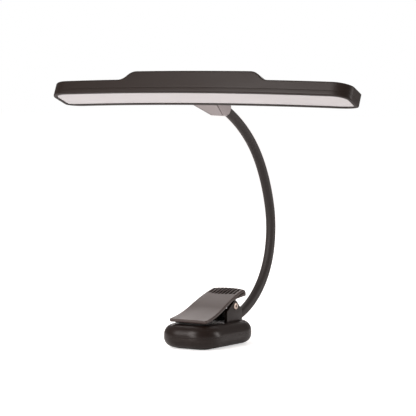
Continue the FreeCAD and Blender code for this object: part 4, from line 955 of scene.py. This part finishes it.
def cross_pad(name, rows, half_x, height):
    """A pad of the jaw, wider than long: drawn with its long way on Y and turned a quarter, so that
    its middle line lies along X."""
    flat, z = plan_rows(rows, PAD_HALF_Y, half_x, PAD_CORNER)
    flat = flat[..., ::-1] * (-1, 1) + np.array(PAD_PLACE)
    return make_piece(name, np.concatenate([flat, height(z, flat)[..., None]], -1))


def lever_pad_piece():
    """The lever's pad: its top follows the lever's underside and its soft lower edge faces the jaw."""
    low, edge, top = 22.4, 0.8, 9.0
    up, inward = quarter(edge, 6)
    rows = [(edge, t, 0.0) for t in np.linspace(1, 0, 8)]
    rows += [(edge - u, 0, i) for u, i in zip(up[1:], inward[1:])]
    rows += [(0, 0, top), (0, 1, top)]

    def height(z, flat):
        wave = 0.18 * (0.5 + 0.5 * np.cos(2 * math.pi * flat[..., 1] / RIB_PITCH)) * (z < 0.01)
        return np.where(z > top - 1, under_lever(flat[..., 1]) - 0.02, low + z + wave)

    return cross_pad("lever_jaw_pad", rows, 17.0, height)


def rivet_piece():
    """Tubular rivet: a hollow shaft whose two ends are rolled over into soft round heads."""
    right = np.array([(17.3, 1.1), (18.35, 1.15), (18.7, 1.45), (18.8, 1.9), (18.7, 2.5), (18.45, 2.95),
                      (18.15, 3.1), (17.95, 3.0), (17.9, 2.2)])
    left = right[::-1] * (-1, 1)
    return turned("pivot_rivet", np.concatenate([right, left]), PIN, (1, 0, 0), 40, wrap_rows=True)


def collar_piece():
    """Collar where the neck leaves the base: a tapered tube with a rolled lip and three grooves."""
    long, wide, taper, bore, lip = 13, 6.3, 0.7, 4.62, 0.8
    run = np.linspace(0, long, 60)
    outer = wide - taper * run / long
    wave = np.clip(np.cos((run - 5.6) * 2 * math.pi / 1.9) - 0.2, 0, 1)
    outer -= 0.35 * wave * ((run > 4.6) & (run < 10.6))
    outer -= 0.6 * (1 - np.sqrt(1 - np.clip((run - long + lip) / lip, 0, 1) ** 2))
    outside = np.stack([run, outer], -1)
    inside = np.array([(long, bore), (0, bore)])
    y, z, heading = NECK_START
    axis = np.array([0, math.cos(heading), math.sin(heading)])
    return turned("neck_collar", np.concatenate([outside, inside]), np.array([0, y, z]) - axis * 20.5, axis,
                  44, wrap_rows=True)


# Spring: radius of the wire, of the coil's middle line and half its width, angles at which the
# helix starts and ends, and where both legs end
SPRING_WIRE, SPRING_RADIUS, SPRING_HALF = 0.6, 4.0, 4.37
SPRING_FROM, SPRING_TO = -134.3, 104.5 - 5 * 360
SPRING_LOWER, SPRING_UPPER = (-SPRING_HALF, 25.8, 22.2), (SPRING_HALF, 27.56, 41.5)


def spring_piece():
    """The clip's spring: round wire along a straight lower leg, a helix about the pin and a straight
    upper leg. Both legs meet the helix at a tangent."""
    turn = np.radians(np.linspace(SPRING_FROM, SPRING_TO, 175))
    coil = np.stack([np.linspace(-SPRING_HALF, SPRING_HALF, len(turn)),
                     PIN[1] + SPRING_RADIUS * np.cos(turn), PIN[2] + SPRING_RADIUS * np.sin(turn)], -1)
    share_out = np.linspace(0, 1, 9)[:, None]
    line = np.concatenate([(SPRING_LOWER + (coil[0] - SPRING_LOWER) * share_out)[:-1], coil,
                           (coil[-1] + (SPRING_UPPER - coil[-1]) * share_out)[1:]])
    ahead = np.gradient(line, axis=0)
    ahead /= np.linalg.norm(ahead, axis=1)[:, None]
    side = np.cross(ahead, [1, 0, 0])
    side /= np.linalg.norm(side, axis=1)[:, None]
    other = np.cross(ahead, side)
    angle = np.linspace(0, 2 * math.pi, 14, endpoint=False)[None, :, None]
    wide = np.concatenate([[0], np.full(len(line), SPRING_WIRE), [0]])[:, None, None]
    line, side, other = [np.concatenate([v[:1], v, v[-1:]])[:, None] for v in (line, side, other)]
    return make_piece("clip_spring", line + wide * (side * np.cos(angle) + other * np.sin(angle)))


# Operators, one for each group of pieces

class LampOperator(bpy.types.Operator):
    """What all the lamp's operators share"""
    bl_options = {"REGISTER", "UNDO"}


class LAMP_OT_head(LampOperator):
    """Cover, rim and diffuser of the arched light head"""
    bl_idname = "piano_lamp.head"
    bl_label = "Light Head"

    def execute(self, context):
        settings = context.scene.lamp_head
        # Textured ABS: a fine etched grain takes the shine off and leaves a soft even sheen.
        # The real grain is near 0.1 mm, and is drawn at 0.6 mm so that it shows. Its pits shade part
        # of every reflection, hence the low specular level
        shell = moulded("abs_moulded_etched_black", settings.shell, 0.42, 0.6, 0.03,
                        stretch=(0.25, 1, 1), IOR=1.52, Specular_IOR_Level=0.22)
        dress(cover_piece(settings), "head", "head_shell", shell, "head_top_cover")
        dress(rim_piece(settings), "head", "head_shell", shell, "head_bezel")
        dress(lens_piece(), "head", "opal", opal_acrylic(settings.lens), "diffuser")
        # White polystyrene tray: almost no pigment drift, a soft satin that throws light back
        tray = moulded("polystyrene_moulded_white", linear("efeeea"), 0.45, 0.8, 0.02, IOR=1.59)
        dress(tray_piece(), "head", "white_tray", tray, "reflector_tray")
        return {"FINISHED"}


class LAMP_OT_buttons(LampOperator):
    """Power and brightness buttons on the raised middle"""
    bl_idname = "piano_lamp.buttons"
    bl_label = "Buttons"

    def execute(self, context):
        # Smoother than the cover round it, so a fingertip finds it
        cap = moulded("abs_moulded_smooth_black", linear("1b1816"), 0.3, 0.8, 0.01, IOR=1.5)
        dress(button_piece("power_cap", -BUTTON_X, "ring"), "power_key", "button_black", cap, "power_button")
        dress(button_piece("brightness_cap", BUTTON_X, "dot"), "brightness_key", "button_black", cap,
              "brightness_button")
        return {"FINISHED"}


class LAMP_OT_mount(LampOperator):
    """Light grey wedge that joins the head to the neck"""
    bl_idname = "piano_lamp.mount"
    bl_label = "Neck Mount"

    def execute(self, context):
        settings = context.scene.lamp_head
        # Polycarbonate sprayed with a silver-grey lacquer: satin, with the flake's faint cloudiness
        lacquer = moulded("polycarbonate_lacquered_grey", settings.mount, 0.34, 0.9, 0.012, haze=0.05,
                          IOR=1.58, Coat_Weight=0.15, Coat_Roughness=0.3)
        dress(mount_piece(), "head", "mount_shell", lacquer, "neck_mount")
        return {"FINISHED"}


class LAMP_OT_neck(LampOperator):
    """Silicone sleeve of the neck, in six stretches that each reach round one joint"""
    bl_idname = "piano_lamp.neck"
    bl_label = "Neck"

    def execute(self, context):
        settings = context.scene.lamp_neck
        skin = silicone(settings.sleeve)
        count = len(NECK_RADII)
        cuts = [-NECK_ROOT] + [(k + 0.5) * NECK_RUN for k in range(count - 1)] + [count * NECK_RUN + NECK_TIP]
        sleeves = ["neck_sleeve_%d" % k for k in range(1, count)] + ["neck_sleeve_tip"]
        for number in range(count):
            piece = neck_piece(number + 1, cuts[number], cuts[number + 1], settings.radius / MM)
            replaced = [sleeves[number]] + (["neck_sleeve_root"] if number == 0 else [])
            dress(piece, None, "silicone", skin, *replaced)
            middle = number * NECK_RUN
            (start, end), _ = neck_line(np.array([middle - NECK_BEND, middle + NECK_BEND]))
            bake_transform(piece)
        return {"FINISHED"}


class LAMP_OT_base(LampOperator):
    """Both halves of the base, its ears, foot, collar and jaw pad"""
    bl_idname = "piano_lamp.base"
    bl_label = "Base"

    def execute(self, context):
        settings = context.scene.lamp_base
        # Satin ABS, glossier than the head: the base takes long soft reflections on its round edges
        shell = moulded("abs_moulded_satin_black", settings.shell, 0.33, 0.6, 0.025, haze=0.05,
                        stretch=(1, 0.3, 2.5), IOR=1.53, Specular_IOR_Level=0.27)
        # Moulded rubber: no clear reflection, a grey bloom and a coarse grain that grips
        rubber = moulded("rubber_moulded_black", settings.rubber, 0.78, 0.9, 0.08, haze=0.08, IOR=1.5,
                         Sheen_Weight=0.12, Sheen_Roughness=0.5)
        dress(upper_base_piece(settings), "base", "black_shell", shell, "base_upper_shell")
        dress(lower_base_piece(settings), "base", "black_shell", shell, "base_lower_shell")
        for ear in plate_pair("pivot_ear", ear_outline(), 14.6, 17.8, settings.ear_edge / MM, (17.0, 27.0)):
            dress(ear, "base", "black_shell", shell)
        dress(ear_web_piece(), "base", "black_shell", shell)
        dress(foot_piece(), "base", "pad_rubber", rubber, "foot_pad")
        dress(collar_piece(), "base", "pad_rubber", rubber, "neck_gland")
        dress(jaw_pad_piece(), "base", "pad_rubber", rubber, "base_jaw_pad")
        return {"FINISHED"}


class LAMP_OT_lever(LampOperator):
    """Clip lever with its grip slots, lugs and pad, its spring and the rivet that it turns on"""
    bl_idname = "piano_lamp.lever"
    bl_label = "Clip Lever"

    def execute(self, context):
        settings = context.scene.lamp_lever
        plastic = lever_plastic(settings.shell)
        dress(lever_piece(settings), "lever", "lever_shell", plastic, "clip_lever")
        for plate in (plate_pair("lever_lug", lug_outline(), 11.2, 14.2, 0.4, (PIN[1], PIN[2] - 1))
                      + plate_pair("lever_flange", flange_outline(), 15.2, 17.5, 0.4, (28.0, 43.0))):
            dress(plate, "lever", "lever_shell", plastic)
        rubber = bpy.data.materials["rubber_moulded_black"]
        dress(lever_pad_piece(), "lever", "pad_rubber", rubber, "lever_pad")
        # Nickel-plated steel rivet: warm bright metal, a little scuffed where the die rolled it
        nickel = drawn_metal("steel_nickel_plated_rolled", settings.rivet, 0.3, 0, 0.5)
        dress(rivet_piece(), "base", "rivet_steel", nickel, "pivot_pin")
        # Drawn spring wire: grey steel with lines along the wire and a thin film of oil
        wire = drawn_metal("steel_drawn_spring_wire", linear("8f9092"), 0.32, 0, 0.35)
        spring = dress(spring_piece(), None, "spring_steel", wire, "torsion_spring")
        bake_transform(spring)
        return {"FINISHED"}


class LAMP_OT_inner_finishes(LampOperator):
    """Finishes of the CAD parts that stay: cores, boards, cell, screws and socket"""
    bl_idname = "piano_lamp.inner_finishes"
    bl_label = "Inner Finishes"

    def execute(self, context):
        wire = bpy.data.materials["steel_drawn_spring_wire"]
        # Zinc-plated screws: bluish bright metal, stained where the plating ran
        zinc = drawn_metal("steel_zinc_plated", linear("b4b8bc"), 0.36, 2, 0.5)
        # Tinned brass of the socket: pale metal, rolled flat before it was folded
        tin = drawn_metal("brass_tinned_rolled", linear("c2c0ba"), 0.28, 0, 0.4)
        # Foil pouch of the cell: rolled aluminium, dull silver with lengthwise lines
        foil = drawn_metal("aluminium_rolled_foil", linear("b9bcc0"), 0.42, 1, 0.7)
        # Fibreglass boards under green solder mask, and the strip under white mask
        green = coated_board("fibreglass_green_solder_mask", linear("0f4a2c"), linear("1c6b40"))
        strip = coated_board("aluminium_white_solder_mask", linear("e9e9e5"), linear("dcd8cc"))
        tray = bpy.data.materials["polystyrene_moulded_white"]
        # Cured silicone with phosphor over each chip: yellow, waxy, slightly rough
        phosphor = moulded("silicone_cast_phosphor", linear("e3c65a"), 0.5, 0.4, 0.03, IOR=1.41,
                           Subsurface_Weight=0.2, Subsurface_Scale=0.0006)
        # Clear polycarbonate pipe: takes in the indicator's light and shows its surroundings
        clear = moulded("polycarbonate_moulded_clear", linear("e8eeee"), 0.12, 1.0, 0.01, haze=0.03,
                        IOR=1.58, Transmission_Weight=0.85)
        finishes = {
            "base_screws": zinc, "tray_screws": zinc, "mount_screws": zinc,
            "neck_ferrule": zinc, "usb_socket": tin, "tact_switches": tin, "battery_cell": foil,
            "charge_board": green, "control_board": green, "led_strip_board": strip,
            "reflector_tray": tray, "led_chips": phosphor, "charge_light_pipe": clear,
        }
        finishes.update({name: wire for name in nodes if name.startswith("neck_core_")})
        for name, material in finishes.items():
            for place in nodes[name].material_slots:
                place.material = material
        return {"FINISHED"}


class LAMP_OT_stage(LampOperator):
    """White floor, surround, soft lights and the camera"""
    bl_idname = "piano_lamp.stage"
    bl_label = "Stage"

    def execute(self, context):
        settings = context.scene.lamp_stage
        self.floor(settings)
        self.surround(context, settings)
        # The window box lights the front and the small box under it draws the soft gleam on the base's
        # nose. The strip on the right lights the base's near corner, and the two boxes behind lie pale
        # on the lever's lip and the head's slope
        self.light("window_box", (-20, 34, 1.5), (0, 0, 0.05), 0.8, 1.0, 17.0)
        self.light("corner_strip", (118, 15, 1.4), (0, 0, 0.03), 0.5, 1.0, 8.5)
        self.light("nose_box", (-6, 8, 1.2), (0, 0, 0.02), 0.6, 0.35, 3.4)
        self.light("low_rear_box", (-150, 21, 1.8), (0, 0, 0.06), 1.1, 0.2, 1.7)
        self.light("high_rear_box", (-150, 42, 1.7), (0, 0, 0.06), 1.1, 0.75, 3.9)
        self.camera(context)
        return {"FINISHED"}

    def floor(self, settings):
        mesh = bpy.data.meshes.new("white_floor")
        reach, lines = 9, 7
        x, y = np.meshgrid(np.linspace(-reach, reach, lines), np.linspace(-reach, reach, lines))
        points = np.stack([x, y, np.zeros_like(x)], -1).reshape(-1, 3)
        mesh.from_pydata(points.tolist(), [], grid_faces(lines, lines, wrap_columns=False).tolist())
        floor = bpy.data.objects.new("white_floor", mesh)
        bpy.context.scene.collection.objects.link(floor)
        # Matt paper: the camera sees it a little brighter than it is lit, so it meets the surround
        material = bpy.data.materials.new("paper_matt_white")
        material.use_nodes = True
        tree = material.node_tree
        shader = tree.nodes["Principled BSDF"]
        shader.inputs["Roughness"].default_value = 0.9
        shader.inputs["Specular IOR Level"].default_value = 0.1
        place = add(tree, "TexCoord").outputs["Object"]
        fibre = add(tree, "TexNoise", {"Vector": place, "Scale": per_mm(12), "Detail": 3.0})
        tone = settings.floor
        pale = add(tree, "Mix", {0: fibre.outputs[0], 6: (*[c * 0.99 for c in tone], 1), 7: (*tone, 1)},
                   data_type="RGBA")
        seen = add(tree, "LightPath")
        glow = add(tree, "Math", {0: seen.outputs["Is Camera Ray"], 1: 0.55}, operation="MULTIPLY")
        tree.links.new(pale.outputs[2], shader.inputs["Base Color"])
        shader.inputs["Emission Color"].default_value = (1, 1, 1, 1)
        tree.links.new(glow.outputs[0], shader.inputs["Emission Strength"])
        mesh.materials.append(material)

    def surround(self, context, settings):
        world = bpy.data.worlds.new("white_surround")
        context.scene.world = world
        world.use_nodes = True
        tree = world.node_tree
        seen = add(tree, "LightPath")
        through = add(tree, "Math", {0: seen.outputs["Is Camera Ray"],
                                     1: seen.outputs["Is Transmission Ray"]}, operation="MAXIMUM")
        mirrored = add(tree, "MapRange", {0: seen.outputs["Is Glossy Ray"], 3: settings.surround,
                                          4: settings.mirrored})
        level = add(tree, "MapRange", {0: through.outputs[0], 3: mirrored.outputs[0], 4: 1.0})
        sky = tree.nodes["Background"]
        # A warm white room round the lamp, and plain white where the camera looks past it
        tint = add(tree, "Mix", {0: through.outputs[0], 6: (*settings.room, 1), 7: (1, 1, 1, 1)},
                   data_type="RGBA")
        tree.links.new(tint.outputs[2], sky.inputs["Color"])
        tree.links.new(level.outputs[0], sky.inputs["Strength"])

    def light(self, name, view, aim, wide, high, power):
        """A soft box seen from the base at this turn from the front, this height and this distance."""
        turn, lift = math.radians(view[0]), math.radians(view[1])
        place = Vector((math.sin(turn) * math.cos(lift), -math.cos(turn) * math.cos(lift),
                        math.sin(lift))) * view[2]
        lamp = bpy.data.lights.new(name, "AREA")
        lamp.shape, lamp.size, lamp.size_y, lamp.energy = "RECTANGLE", wide, high, power
        lamp.color = bpy.context.scene.lamp_stage.room
        box = bpy.data.objects.new(name, lamp)
        box.location = place
        box.rotation_euler = (Vector(aim) - Vector(place)).to_track_quat("-Z", "Y").to_euler()
        bpy.context.scene.collection.objects.link(box)

    def camera(self, context):
        """The photograph's view: 33 degrees to the right, 3.6 degrees down, from 1.93 m."""
        turn, lift, away, focus, film = math.radians(33), math.radians(3.6), 1.928, 2140, 36
        aim = Vector((0, 0, 0.1244))
        back = Vector((math.sin(turn) * math.cos(lift), -math.cos(turn) * math.cos(lift), math.sin(lift)))
        lens = bpy.data.cameras.new("photo_camera")
        lens.sensor_width = film
        lens.lens = focus / PHOTO_PIXELS * film
        camera = bpy.data.objects.new("photo_camera", lens)
        camera.location = aim + back * away
        camera.rotation_euler = (-back).to_track_quat("-Z", "Y").to_euler()
        context.scene.collection.objects.link(camera)
        context.scene.camera = camera
        context.scene.view_settings.view_transform = "Standard"


class LAMP_PT_panel(bpy.types.Panel):
    bl_idname = "LAMP_PT_panel"
    bl_label = "Piano Lamp"
    bl_space_type = "VIEW_3D"
    bl_region_type = "UI"
    bl_category = "Piano Lamp"

    def draw(self, context):
        for group, operators in PANEL_ROWS:
            box = self.layout.box()
            settings = getattr(context.scene, group, None)
            if settings:
                for name in settings.__annotations__:
                    box.prop(settings, name)
            for operator in operators:
                box.operator(operator.bl_idname)


SETTINGS = {"lamp_head": LampHeadSettings, "lamp_neck": LampNeckSettings, "lamp_base": LampBaseSettings,
            "lamp_lever": LampLeverSettings, "lamp_stage": LampStageSettings}
PANEL_ROWS = (("lamp_head", (LAMP_OT_head, LAMP_OT_buttons, LAMP_OT_mount)), ("lamp_neck", (LAMP_OT_neck,)),
              ("lamp_base", (LAMP_OT_base,)), ("lamp_lever", (LAMP_OT_lever,)),
              ("lamp_stage", (LAMP_OT_inner_finishes, LAMP_OT_stage)))
CLASSES = (*SETTINGS.values(), LAMP_OT_head, LAMP_OT_buttons, LAMP_OT_mount, LAMP_OT_neck, LAMP_OT_base,
           LAMP_OT_lever, LAMP_OT_inner_finishes, LAMP_OT_stage, LAMP_PT_panel)


def register():
    for kind in CLASSES:
        bpy.utils.register_class(kind)
    for name, kind in SETTINGS.items():
        setattr(bpy.types.Scene, name, bpy.props.PointerProperty(type=kind))


def unregister():
    for name in SETTINGS:
        delattr(bpy.types.Scene, name)
    for kind in reversed(CLASSES):
        bpy.utils.unregister_class(kind)


def main():
    register()
    for step in ("head", "buttons", "mount", "neck", "base", "lever", "inner_finishes", "stage"):
        getattr(bpy.ops.piano_lamp, step)()


if __name__ == "__main__":
    main()
